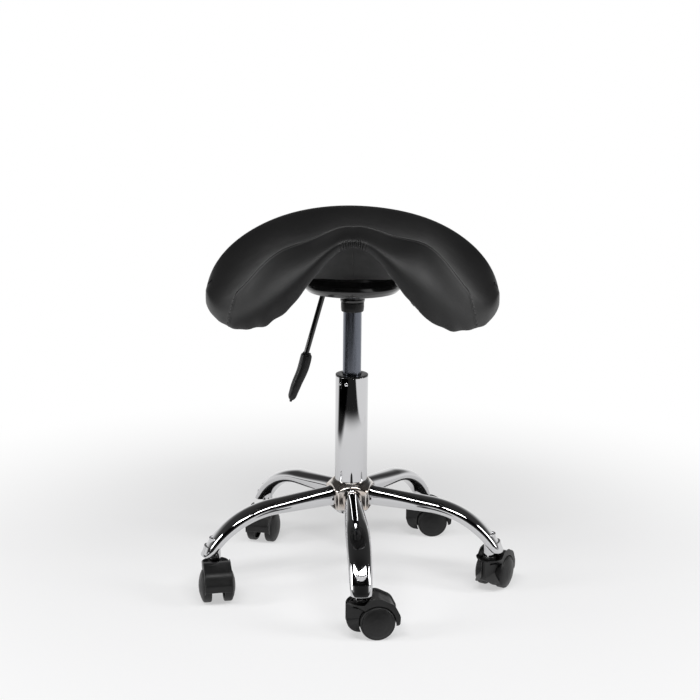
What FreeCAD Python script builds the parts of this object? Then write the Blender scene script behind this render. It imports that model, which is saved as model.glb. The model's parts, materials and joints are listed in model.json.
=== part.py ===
import FreeCAD, Part
import os
import re
import Sketcher
from FreeCAD import Placement, Rotation, Vector

# Saddle stool on a five-leg chromed base with twin-wheel casters and a gas lift.
# The origin is on the column's axis at the floor, +Z is up and the sitter faces -Y.
# Lengths are in millimetres and angles in degrees.
SIZES = {
    # Running and fitted clearances, each measured on the radius or across the gap
    "running_gap": 0.05,
    "fitted_gap": 0.02,
    "soft_gap": 0.3,
    # Broken edges of turned and moulded pieces
    "edge_break": 1,
    # Base: five legs on a pentagonal hub
    "leg_first_azimuth": -86,
    "leg_reach": 220,
    "leg_root_height": 136,
    "leg_root_width": 26.5,
    "leg_root_depth": 30,
    "leg_slope": 4,
    "leg_straight": 92,
    "leg_bend_radius": 136,
    "leg_bend_angle": 54,
    "leg_waist_width": 31,
    "leg_waist_depth": 25.5,
    "leg_bend_width": 36,
    "leg_bend_depth": 21,
    "leg_tip_width": 30.4,
    "leg_tip_depth": 17,
    "leg_wall": 1.6,
    "leg_tip_height": 66,
    "hub_body_height": 27,
    "hub_top_height": 146,
    "hub_across": 82,
    "hub_corner": 8,
    "hub_wall": 3,
    "hub_plate_thickness": 2.5,
    "collar_height": 14,
    "collar_edge": 1,
    "collar_top_width": 56,
    "sleeve_outer": 57.6,
    # Gas lift: stand tube, bush, pressure tube and rod
    "stand_foot_height": 108,
    "stand_length": 217,
    "stand_outer": 50,
    "stand_wall": 1.5,
    "stand_taper_length": 52,
    "stand_foot_outer": 46,
    "stand_floor": 3,
    "stand_corner": 3,
    "stud_hole": 12.2,
    "clip_thickness": 1.5,
    "bush_flange": 2.5,
    "bush_length": 90,
    "bearing_outer": 28,
    "bearing_height": 5,
    "rod_diameter": 10,
    "rod_spigot": 8,
    "rod_length": 172,
    "rod_foot": 18,
    "piston_height": 14,
    "tube_outer": 28,
    "tube_wall": 2.5,
    "tube_length": 250,
    "tube_cone_length": 22,
    "tube_cone_top": 26.4,
    "tube_head": 12,
    "guide_height": 20,
    "pin_diameter": 8,
    "pin_length": 24,
    "shown_lift": 100,
    "ring_outer": 35,
    "ring_height": 15,
    # Seat mechanism, from the neck up to the plate
    "neck_outer": 39.5,
    "socket_height": 26,
    "socket_flange": 68,
    "socket_flange_height": 4,
    "bracket_height": 17.7,
    "bracket_gap": 28,
    "bracket_wall": 3,
    "bracket_inner": 30,
    "bracket_outer": 34,
    "plate_diameter": 128,
    "plate_thickness": 3,
    "plate_bolt_circle": 100,
    "bolt_diameter": 6,
    "bolt_head": 12,
    "bolt_head_height": 4,
    "bolt_length": 12,
    "nut_barrel": 8,
    "nut_flange": 18,
    "nut_flange_height": 1.2,
    "dish_diameter": 150,
    "dish_wall": 2,
    "dish_floor_height": 16,
    "dish_corner": 8,
    "dish_side_height": 18,
    "dish_rim_step": 5,
    "slot_inner": 39,
    "slot_length": 19,
    "slot_width": 12,
    # Lever, in its own upright plane
    "lever_azimuth": 200,
    "lever_pivot": 24,
    "lever_height": 9.6,
    "lever_pin_diameter": 6,
    "lever_boss": 14,
    "lever_diameter": 8,
    "lever_bend_place": 40.2,
    "lever_bend_radius": 12,
    "lever_lean": 16.6,
    "lever_drop": 119,
    "grip_overlap": 15,
    "grip_top_width": 11,
    "grip_width": 16.6,
    "grip_thickness": 13,
    "grip_tip_width": 12,
    "grip_knee_reach": 4,
    "grip_knee_drop": 37,
    "grip_tip_reach": 29,
    "grip_tip_drop": 76,
    "grip_knee_lean": 76,
    "grip_bend_lean": 58,
    "grip_tip_lean": 55,
    # Seat, measured from the plate's top face; front is towards -Y
    "seat_width": 452,
    "seat_front": 165,
    "seat_rear": 190,
    "seat_widest": 45,
    "rear_fullness": 2.4,
    "front_fullness": 1.8,
    "nose_rise": 57,
    "nose_spread": 0.38,
    "flap_drop": 79,
    "flap_lift": 25,
    "crest_rise": 24,
    "thigh_rise": 72,
    "thigh_place": 0.5,
    "thigh_spread": 0.28,
    "crest_setback": 40,
    "cantle_rise": 83,
    "side_drop": 42,
    "rim_depth": 50,
    "rim_setback": 22,
    "seat_dip": 26,
    "lip_width": 16,
    "lip_depth": 12,
    "shell_thickness": 9,
    "lining_thickness": 1.2,
    "shell_flat": 140,
    "lining_hole": 156,
    # Casters: 50 mm twin wheels on 11 mm stems
    "caster_heading_1": 8,
    "caster_heading_2": 60,
    "caster_heading_3": 4,
    "caster_heading_4": -105,
    "caster_heading_5": -78,
    "wheel_diameter": 50,
    "wheel_trail": 22,
    "wheel_tread": 11,
    "wheel_dome": 7,
    "wheel_flat": 6,
    "wheel_hub": 16,
    "wheel_recess": 4.5,
    "wheel_rim_wall": 3.5,
    "wheel_side_gap": 0.5,
    "well_gap": 1.4,
    "web_width": 18,
    "axle_diameter": 6,
    "axle_end_gap": 0.5,
    "hood_width": 41,
    "hood_shoulder_height": 50,
    "hood_lobe_height": 17,
    "hood_lobe_corner": 12.5,
    "fender_reach": 51,
    "fender_crown_setback": 9.5,
    "fender_crown_rise": 25.3,
    "neck_diameter": 37,
    "neck_height": 60,
    "neck_root": 5,
    "neck_recess": 26,
    "neck_recess_depth": 6,
    "stem_diameter": 11,
    "stem_flange": 15,
    "stem_flange_height": 1.4,
    "stem_insert": 30,
    "stem_depth": 29,
    "socket_outer": 17,
    "socket_length": 37,
}

LEG_COUNT = 5
LEG_STEP = 360 / LEG_COUNT

doc = FreeCAD.newDocument("SaddleStool")
sheet = doc.addObject("Spreadsheet::Sheet", "Sizes")
for row, (alias, number) in enumerate(SIZES.items(), start=1):
    sheet.set(f"A{row}", alias)
    sheet.set(f"B{row}", str(number))
    sheet.setAlias(f"B{row}", alias)
doc.recompute()

# Heights along the column, each built from the one below it
STAND_TOP = "(stand_foot_height + stand_length)"
NECK_FOOT = f"({STAND_TOP} + shown_lift + ring_height)"
PLATE_FOOT = "(socket_height + bracket_height)"
SEAT_FOOT = f"({NECK_FOOT} + {PLATE_FOOT} + plate_thickness)"
BEARING_FOOT = "(stand_foot_height + stand_floor)"
ROD_FOOT = f"({BEARING_FOOT} + bearing_height)"
TUBE_TOP = f"({NECK_FOOT} + socket_height - 1)"


def linked(formula):
    """The formula with each size's name pointing at its cell in the sheet."""
    return re.sub(r"\b[a-z][a-z_0-9]*\b(?!\()", r"Sizes.\g<0>", str(formula))


def measure(formula):
    """The formula's present value as a plain number."""
    value = sheet.evalExpression(linked(formula))
    return float(getattr(value, "Value", value))


def new_body(label, spot=None, turn=None):
    """A body of its own, moved to spot (x, y, z) and turned about Z, all by formula."""
    body = doc.addObject("PartDesign::Body", label)
    body.Label = label
    if turn is not None:
        body.Placement = Placement(Vector(), Rotation(Vector(0, 0, 1), 1))
        body.setExpression("Placement.Rotation.Angle", linked(turn))
    if spot is not None:
        for axis, formula in zip("xyz", spot):
            body.setExpression(f"Placement.Base.{axis}", linked(formula))
    return body


def new_sketch(body, name, role, offset=None, tilt=None):
    """A sketch on one of the body's own planes, shifted and tilted about its own X."""
    sketch = body.newObject("Sketcher::SketchObject", f"{body.Label}_{name}")
    support = next(f for f in body.Origin.OriginFeatures if f.Role == role)
    sketch.AttachmentSupport = [(support, "")]
    sketch.MapMode = "FlatFace"
    if tilt is not None:
        sketch.AttachmentOffset = Placement(Vector(), Rotation(Vector(1, 0, 0), 1))
        sketch.setExpression("AttachmentOffset.Rotation.Angle", linked(tilt))
    for axis, formula in (offset or {}).items():
        sketch.setExpression(f"AttachmentOffset.Base.{axis}", linked(formula))
    return sketch


def bind_point(sketch, geometry, position, spot, name):
    """Ties one point of a sketch to a pair of formulas."""
    axes = (("DistanceX", -2, spot[0], "x"), ("DistanceY", -1, spot[1], "y"))
    for kind, axis_line, formula, letter in axes:
        if str(formula) == "0":
            sketch.addConstraint(Sketcher.Constraint("PointOnObject", geometry, position, axis_line))
            continue
        distance = Sketcher.Constraint(kind, geometry, position, measure(formula))
        index = sketch.addConstraint(distance)
        sketch.renameConstraint(index, f"{name}_{letter}")
        sketch.setExpression(f"Constraints.{name}_{letter}", linked(formula))


def draw_outline(sketch, corners):
    """A closed outline; a corner (x, y) is reached by a line, (x, y, via_x, via_y) by an arc."""
    points = [Vector(measure(c[0]), measure(c[1]), 0) for c in corners]
    ends = []
    for index, corner in enumerate(corners):
        start, end = points[index - 1], points[index]
        if len(corner) == 2:
            geometry = sketch.addGeometry(Part.LineSegment(start, end), False)
            ends.append((geometry, 1, 2))
            continue
        via = Vector(measure(corner[2]), measure(corner[3]), 0)
        anticlockwise = (via - start).cross(end - via).z > 0
        ordered = (start, via, end) if anticlockwise else (end, via, start)
        geometry = sketch.addGeometry(Part.Arc(*ordered), False)
        ends.append((geometry, 1, 2) if anticlockwise else (geometry, 2, 1))
        marker = sketch.addGeometry(Part.Point(via), True)
        bind_point(sketch, marker, 1, corner[2:], f"arc_{index}")
        sketch.addConstraint(Sketcher.Constraint("PointOnObject", marker, 1, geometry))
    for index, corner in enumerate(corners):
        geometry, _, finish = ends[index]
        following, begin, _ = ends[(index + 1) % len(ends)]
        sketch.addConstraint(Sketcher.Constraint("Coincident", geometry, finish, following, begin))
        bind_point(sketch, geometry, finish, corner, f"corner_{index}")


def draw_circle(sketch, diameter, spot=("0", "0"), name="circle"):
    """A circle with its diameter and centre tied to formulas."""
    centre = Vector(measure(spot[0]), measure(spot[1]), 0)
    circle = Part.Circle(centre, Vector(0, 0, 1), measure(diameter) / 2)
    geometry = sketch.addGeometry(circle, False)
    bind_point(sketch, geometry, 3, spot, name)
    index = sketch.addConstraint(Sketcher.Constraint("Diameter", geometry, measure(diameter)))
    sketch.renameConstraint(index, f"{name}_diameter")
    sketch.setExpression(f"Constraints.{name}_diameter", linked(diameter))


def draw_oval(sketch, width, height):
    """A tube section: two flats and two sides joined by four quarter rounds."""
    half_w, half_h = f"({width}) / 2", f"({height}) / 2"
    round_part = f"0.96 * min({half_w}; {half_h})"
    slack = "0.2929"
    x1, y1 = f"({half_w} - {round_part})", f"({half_h} - {round_part})"
    x2, y2 = f"({half_w} - {slack} * {round_part})", f"({half_h} - {slack} * {round_part})"
    half_w, half_h = f"({half_w})", f"({half_h})"
    draw_outline(sketch, [
        (x1, half_h), (half_w, y1, x2, y2),
        (half_w, f"-{y1}"), (x1, f"-{half_h}", x2, f"-{y2}"),
        (f"-{x1}", f"-{half_h}"), (f"-{half_w}", f"-{y1}", f"-{x2}", f"-{y2}"),
        (f"-{half_w}", y1), (f"-{x1}", half_h, f"-{x2}", y2),
    ])


def add_revolution(body, corners, role="XZ_Plane", name="profile"):
    """A full turn of an outline about the sketch's upright axis."""
    sketch = new_sketch(body, name, role)
    draw_outline(sketch, corners)
    turned = body.newObject("PartDesign::Revolution", f"{body.Label}_{name}_turned")
    turned.Profile = sketch
    turned.ReferenceAxis = (sketch, ["V_Axis"])
    turned.Angle = 360
    return turned


def turned_body(label, corners, spot=None, turn=None):
    """A piece turned about its own Z axis."""
    body = new_body(label, spot, turn)
    add_revolution(body, corners)
    return body


def add_prism(body, sketch, length, cut=False):
    """A pad along the sketch's normal, or a pocket against it."""
    kind = "Pocket" if cut else "Pad"
    prism = body.newObject(f"PartDesign::{kind}", f"{sketch.Label}_{kind.lower()}")
    prism.Profile = sketch
    prism.setExpression("Length", linked(length))
    return prism


def add_loft(body, sections, cut=False, ruled=False, name="loft"):
    """A loft through sketches of the same number of edges."""
    kind = "Subtractive" if cut else "Additive"
    loft = body.newObject(f"PartDesign::{kind}Loft", f"{body.Label}_{name}")
    loft.Profile = sections[0]
    loft.Sections = sections[1:]
    loft.Ruled = ruled
    return loft


def add_fillet(body, base, radius, wanted, name="fillet"):
    """Rounds each edge of the base feature that the test picks out."""
    doc.recompute()
    edges = [f"Edge{i}" for i, edge in enumerate(base.Shape.Edges, start=1) if wanted(edge)]
    fillet = body.newObject("PartDesign::Fillet", f"{body.Label}_{name}")
    fillet.Base = (base, edges)
    fillet.setExpression("Radius", linked(radius))
    return fillet


def pentagon(radius):
    """Corners of a regular pentagon with one corner half a step past the first leg."""
    corners = []
    for index in range(LEG_COUNT):
        angle = LEG_STEP * (index + 0.5)
        corners.append((f"({radius}) * cos({angle})", f"({radius}) * sin({angle})"))
    return corners


def upright(edge):
    """True for a straight edge along Z."""
    if not isinstance(edge.Curve, (Part.Line, Part.LineSegment)):
        return False
    return abs(edge.tangentAt(edge.FirstParameter).z) > 0.999


# Hub: sleeve, pentagonal body, collar and lower plate
HUB_FOOT = "(hub_top_height - hub_body_height)"
STAND_RADIUS = "(stand_outer / 2)"
HUB_FACE = f"(hub_across / 2 * cos({LEG_STEP / 2}))"


def stand_radius_at(height):
    """Outer radius of the stand tube's tapered foot at a height above its end."""
    rise = "(stand_outer - stand_foot_outer) / 2"
    return f"(stand_foot_outer / 2 + {rise} * ({height}) / stand_taper_length)"


def make_hub():
    low = f"({HUB_FOOT} - stand_foot_height)"
    high = "(hub_top_height - stand_foot_height)"
    sleeve_outer = "(sleeve_outer / 2)"
    turned_body("hub_sleeve", [
        (f"{stand_radius_at(low)} + running_gap", "0"),
        (sleeve_outer, "0"),
        (sleeve_outer, "hub_body_height"),
        (f"{stand_radius_at(high)} + running_gap", "hub_body_height"),
    ], spot=("0", "0", HUB_FOOT))

    body = new_body("hub_body", ("0", "0", HUB_FOOT), "leg_first_azimuth")
    outer = new_sketch(body, "outer", "XY_Plane")
    draw_outline(outer, pentagon("hub_across / 2"))
    prism = add_prism(body, outer, "hub_body_height")
    add_fillet(body, prism, "hub_corner", upright)
    bore = new_sketch(body, "bore", "XY_Plane", {"z": "hub_body_height"})
    draw_circle(bore, "sleeve_outer + 2 * fitted_gap")
    add_prism(body, bore, "hub_body_height", cut=True)

    plate = new_body("hub_lower_plate", ("0", "0", f"{HUB_FOOT} - hub_plate_thickness"),
                     "leg_first_azimuth")
    flat = new_sketch(plate, "outer", "XY_Plane")
    draw_outline(flat, pentagon("hub_across / 2 - hub_wall"))
    sheet_metal = add_prism(plate, flat, "hub_plate_thickness")
    add_fillet(plate, sheet_metal, "hub_corner", upright)
    opening = new_sketch(plate, "bore", "XY_Plane", {"z": "hub_plate_thickness"})
    draw_circle(opening, f"2 * {stand_radius_at(low)} + 2 * running_gap")
    add_prism(plate, opening, "hub_plate_thickness", cut=True)

    collar = new_body("hub_collar", ("0", "0", "hub_top_height"), "leg_first_azimuth")
    rim = new_sketch(collar, "outer", "XY_Plane")
    draw_outline(rim, pentagon("hub_across / 2"))
    block = add_prism(collar, rim, "collar_height")
    add_fillet(collar, block, "hub_corner", upright)
    waste = new_sketch(collar, "slope", "XZ_Plane")
    far = "(hub_across / 2 + collar_edge)"
    top = "(collar_top_width / 2)"
    draw_outline(waste, [
        (top, "collar_height + collar_edge"),
        (top, "collar_height"),
        (far, "collar_edge", f"({top} + {far}) / 2 + 1", "(collar_height + collar_edge) / 2 + 1"),
        (far, "collar_height + collar_edge"),
    ])
    slope = collar.newObject("PartDesign::Groove", "hub_collar_sloped")
    slope.Profile = waste
    slope.ReferenceAxis = (waste, ["V_Axis"])
    slope.Angle = 360
    collar_top = "(hub_top_height + collar_height - stand_foot_height)"
    hole = new_sketch(collar, "bore", "XY_Plane", {"z": "collar_height"})
    draw_circle(hole, f"2 * {stand_radius_at(collar_top)} + 2 * running_gap")
    add_prism(collar, hole, "collar_height", cut=True)


def leg_stations():
    """Places along a leg: (reach, height, slope, width, depth) as formulas.

    The root's section stands upright, so that its end lies flat against the hub.
    """
    start = f"({HUB_FACE} + fitted_gap)"
    run = "leg_straight"
    fall = "tan(leg_slope)"
    bend_x = f"({start} + {run})"
    bend_z = f"(leg_root_height - {run} * {fall})"
    stations = [
        (start, "leg_root_height", "0", "leg_root_width", "leg_root_depth"),
        (f"({start} + {run} * 0.6)", f"(leg_root_height - {run} * 0.6 * {fall})", "leg_slope",
         "leg_waist_width", "leg_waist_depth"),
        (bend_x, bend_z, "leg_slope",
         "(leg_waist_width + leg_bend_width) / 2", "(leg_waist_depth + leg_bend_depth) / 2"),
    ]
    mid_sizes = [("leg_bend_width", "leg_bend_depth"), ("leg_bend_width", "leg_bend_depth"),
                 ("(leg_bend_width + leg_tip_width) / 2", "(leg_bend_depth + leg_tip_depth) / 2"),
                 ("leg_tip_width", "leg_tip_depth"), ("leg_tip_width", "leg_tip_depth")]
    shares = (0.25, 0.5, 0.75, 0.93, 1.1)
    for share, (width, depth) in zip(shares, mid_sizes):
        angle = f"(leg_slope + leg_bend_angle * {share})"
        x = f"({bend_x} + leg_bend_radius * (sin({angle}) - sin(leg_slope)))"
        z = f"({bend_z} - leg_bend_radius * (cos(leg_slope) - cos({angle})))"
        stations.append((x, z, angle, width, depth))
    return stations


def make_leg(number):
    azimuth = f"leg_first_azimuth + {LEG_STEP * (number - 1)}"
    body = new_body(f"leg_{number}", turn=azimuth)
    outer, inner = [], []
    for index, (x, z, slope, width, depth) in enumerate(leg_stations()):
        offset = {"y": z, "z": x}
        section = new_sketch(body, f"outer_{index}", "YZ_Plane", offset, slope)
        draw_oval(section, width, depth)
        outer.append(section)
        section = new_sketch(body, f"inner_{index}", "YZ_Plane", offset, slope)
        draw_oval(section, f"{width} - 2 * leg_wall", f"{depth} - 2 * leg_wall")
        inner.append(section)
    add_loft(body, outer, name="outside")
    add_loft(body, inner, cut=True, name="inside")
    end_cut = new_sketch(body, "end_cut", "XY_Plane", {"z": "leg_tip_height"})
    draw_circle(end_cut, "3 * leg_tip_width", ("leg_reach + leg_tip_width / 2", "0"), "waste")
    add_prism(body, end_cut, "leg_tip_height", cut=True)
    clearance = new_sketch(body, "socket_hole", "XY_Plane", {"z": SOCKET_TOP})
    draw_circle(clearance, "socket_outer + 2 * fitted_gap", ("leg_reach", "0"))
    add_prism(body, clearance, "socket_length + leg_wall", cut=True)


# Casters; each stands at its leg's tip, with its wheels trailing along its own +X
STEM_FLANGE_FOOT = "(neck_height - neck_recess_depth + running_gap)"
SOCKET_FOOT = f"({STEM_FLANGE_FOOT} + stem_flange_height)"
SOCKET_TOP = f"({SOCKET_FOOT} + socket_length)"
AXLE_HEIGHT = "(wheel_diameter / 2)"


def leg_tip(number):
    """Place of a caster's stem on the floor, as formulas."""
    azimuth = f"(leg_first_azimuth + {LEG_STEP * (number - 1)})"
    return f"leg_reach * cos({azimuth})", f"leg_reach * sin({azimuth})"


def make_stem(number):
    x, y = leg_tip(number)
    radius = "(stem_diameter / 2)"
    flange = "(stem_flange / 2)"
    turned_body(f"caster_stem_{number}", [
        ("0", "-stem_depth"),
        (radius, "-stem_depth"),
        (radius, "0"),
        (flange, "0"),
        (flange, "stem_flange_height"),
        (radius, "stem_flange_height"),
        (radius, "stem_flange_height + stem_insert - 2"),
        (f"{radius} - 2", "stem_flange_height + stem_insert"),
        ("0", "stem_flange_height + stem_insert"),
    ], spot=(x, y, STEM_FLANGE_FOOT))
    turned_body(f"leg_socket_{number}", [
        ("stem_diameter / 2 + fitted_gap", "0"),
        ("socket_outer / 2", "0"),
        ("socket_outer / 2", "socket_length"),
        ("stem_diameter / 2 + fitted_gap", "socket_length"),
    ], spot=(x, y, SOCKET_FOOT))


def make_hood(number):
    x, y = leg_tip(number)
    body = new_body(f"caster_hood_{number}", (x, y, "0"), f"caster_heading_{number}")
    side = new_sketch(body, "side", "XZ_Plane", {"z": "-hood_width / 2"})
    front = "-neck_diameter / 2"
    corner = "hood_lobe_corner"
    draw_outline(side, [
        (front, f"hood_lobe_height + {corner}"),
        (f"{front} + {corner}", "hood_lobe_height",
         f"{front} + 0.2929 * {corner}", f"hood_lobe_height + 0.2929 * {corner}"),
        ("wheel_trail + axle_diameter", "hood_lobe_height"),
        ("fender_reach", AXLE_HEIGHT),
        ("neck_diameter / 2 - 3", "neck_height - 0.5",
         "fender_reach - fender_crown_setback", f"{AXLE_HEIGHT} + fender_crown_rise"),
        ("2", "hood_shoulder_height"),
        (front, "hood_shoulder_height"),
    ])
    add_prism(body, side, "hood_width")
    neck = new_sketch(body, "neck", "XY_Plane", {"z": "hood_lobe_height + neck_root"})
    draw_circle(neck, "neck_diameter")
    add_prism(body, neck, "neck_height - hood_lobe_height - neck_root")
    for name, place in (("left_well", "-web_width / 2"), ("right_well", "hood_width / 2 + 1")):
        well = new_sketch(body, name, "XZ_Plane", {"z": place})
        draw_circle(well, "wheel_diameter + 2 * well_gap", ("wheel_trail", AXLE_HEIGHT))
        add_prism(body, well, "(hood_width - web_width) / 2 + 1", cut=True)
    recess = new_sketch(body, "recess", "XY_Plane", {"z": "neck_height"})
    draw_circle(recess, "neck_recess")
    add_prism(body, recess, "neck_recess_depth", cut=True)
    bore = new_sketch(body, "stem_bore", "XY_Plane", {"z": "neck_height"})
    draw_circle(bore, "stem_diameter + 2 * running_gap")
    add_prism(body, bore, "neck_recess_depth + stem_depth + running_gap", cut=True)
    cross = new_sketch(body, "axle_bore", "XZ_Plane", {"z": "hood_width / 2"})
    draw_circle(cross, "axle_diameter + 2 * fitted_gap", ("wheel_trail", AXLE_HEIGHT))
    add_prism(body, cross, "hood_width", cut=True)


def axle_spot(number):
    """Centre of a caster's axle, as formulas."""
    x, y = leg_tip(number)
    heading = f"caster_heading_{number}"
    return (f"{x} + wheel_trail * cos({heading})", f"{y} + wheel_trail * sin({heading})",
            AXLE_HEIGHT)


WHEEL_INNER = "(web_width / 2 + wheel_side_gap)"
WHEEL_EDGE = f"({WHEEL_INNER} + wheel_tread)"
AXLE_HALF = f"({WHEEL_EDGE} - axle_end_gap)"


def make_axle(number):
    body = new_body(f"caster_axle_{number}", axle_spot(number), f"caster_heading_{number}")
    round_bar = new_sketch(body, "section", "XZ_Plane", {"z": f"-{AXLE_HALF}"})
    draw_circle(round_bar, "axle_diameter")
    add_prism(body, round_bar, f"2 * {AXLE_HALF}")


def make_wheel(number, side, half_turn):
    heading = f"caster_heading_{number} + {half_turn}"
    body = new_body(f"caster_wheel_{side}_{number}", axle_spot(number), heading)
    rim = AXLE_HEIGHT
    bore = "(axle_diameter / 2 + running_gap)"
    add_revolution(body, [
        (bore, WHEEL_INNER),
        ("wheel_hub / 2", WHEEL_INNER),
        ("wheel_hub / 2", f"{WHEEL_INNER} + wheel_recess"),
        (f"{rim} - wheel_rim_wall", f"{WHEEL_INNER} + wheel_recess"),
        (f"{rim} - wheel_rim_wall", WHEEL_INNER),
        (f"{rim} - edge_break", WHEEL_INNER),
        (rim, f"{WHEEL_INNER} + edge_break"),
        (rim, f"{WHEEL_EDGE} - edge_break"),
        (f"{rim} - 1.5 * edge_break", f"{WHEEL_EDGE} + edge_break"),
        ("wheel_flat / 2", f"{WHEEL_EDGE} + wheel_dome",
         f"{rim} * 0.6", f"{WHEEL_EDGE} + wheel_dome * 0.78"),
        ("0", f"{WHEEL_EDGE} + wheel_dome"),
        ("0", WHEEL_EDGE),
        (bore, WHEEL_EDGE),
    ], role="XY_Plane")


# Gas lift
def make_gas_lift():
    inner = f"({STAND_RADIUS} - stand_wall)"
    foot_outer = stand_radius_at("stand_corner")
    turned_body("stand_tube", [
        ("stud_hole / 2", "0"),
        (f"{foot_outer} - stand_corner", "0"),
        (foot_outer, "stand_corner",
         f"{foot_outer} - 0.2929 * stand_corner", "0.2929 * stand_corner"),
        (STAND_RADIUS, "stand_taper_length"),
        (STAND_RADIUS, "stand_length"),
        (inner, "stand_length"),
        (inner, "stand_taper_length"),
        (f"{foot_outer} - stand_wall", "stand_floor"),
        ("stud_hole / 2", "stand_floor"),
    ], spot=("0", "0", "stand_foot_height"))

    bore = "(tube_outer / 2 + running_gap)"
    turned_body("guide_bush", [
        (bore, "-bush_length"),
        (f"{inner} - fitted_gap", "-bush_length"),
        (f"{inner} - fitted_gap", "0"),
        (STAND_RADIUS, "0"),
        (STAND_RADIUS, "bush_flange - 0.6"),
        (f"{STAND_RADIUS} - 0.6", "bush_flange"),
        (bore, "bush_flange"),
    ], spot=("0", "0", STAND_TOP))

    spigot = "(rod_spigot / 2)"
    turned_body("thrust_bearing", [
        (f"{spigot} + running_gap", "0"),
        ("bearing_outer / 2", "0"),
        ("bearing_outer / 2", "bearing_height"),
        (f"{spigot} + running_gap", "bearing_height"),
    ], spot=("0", "0", BEARING_FOOT))

    rod = "(rod_diameter / 2)"
    tail = "(bearing_height + stand_floor + 5)"
    turned_body("piston_rod", [
        ("0", f"-{tail}"),
        (f"{spigot} - edge_break", f"-{tail}"),
        (spigot, f"-{tail} + edge_break"),
        (spigot, "running_gap"),
        ("rod_foot / 2", "running_gap"),
        ("rod_foot / 2", "3"),
        (rod, "3"),
        (rod, "rod_length"),
        (spigot, "rod_length"),
        (spigot, "rod_length + piston_height + 2"),
        ("0", "rod_length + piston_height + 2"),
    ], spot=("0", "0", ROD_FOOT))

    cavity = "(tube_outer / 2 - tube_wall)"
    turned_body("piston", [
        (f"{spigot} + fitted_gap", "0"),
        (f"{cavity} - running_gap", "0"),
        (f"{cavity} - running_gap", "piston_height"),
        (f"{spigot} + fitted_gap", "piston_height"),
    ], spot=("0", "0", f"{ROD_FOOT} + rod_length"))

    turned_body("retaining_clip", [
        (f"{spigot} + fitted_gap", "-clip_thickness"),
        ("stud_hole / 2 + 2.5", "-clip_thickness"),
        ("stud_hole / 2 + 2.5", "-running_gap"),
        (f"{spigot} + fitted_gap", "-running_gap"),
    ], spot=("0", "0", "stand_foot_height"))

    pin = "(pin_diameter / 2 + running_gap)"
    turned_body("pressure_tube", [
        (cavity, "-tube_length"),
        ("tube_outer / 2", "-tube_length"),
        ("tube_outer / 2", "-tube_cone_length"),
        ("tube_cone_top / 2", "0"),
        (pin, "0"),
        (pin, "-tube_head"),
        (cavity, "-tube_head"),
    ], spot=("0", "0", TUBE_TOP))

    turned_body("rod_guide", [
        (f"{rod} + running_gap", "0"),
        (f"{cavity} - fitted_gap", "0"),
        (f"{cavity} - fitted_gap", "guide_height"),
        (f"{rod} + running_gap", "guide_height"),
    ], spot=("0", "0", f"{TUBE_TOP} - tube_length"))

    turned_body("release_pin", [
        ("0", "-pin_length"),
        ("pin_diameter / 2", "-pin_length"),
        ("pin_diameter / 2", "-edge_break"),
        ("pin_diameter / 2 - edge_break", "0"),
        ("0", "0"),
    ], spot=("0", "0", f"{NECK_FOOT} + {PIN_TOP}"))


# Seat mechanism; heights here are from the neck's lower face
LEVER_AXIS = "(socket_height + lever_height)"
PIN_TOP = f"({LEVER_AXIS} - lever_diameter / 2 - soft_gap)"


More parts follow.
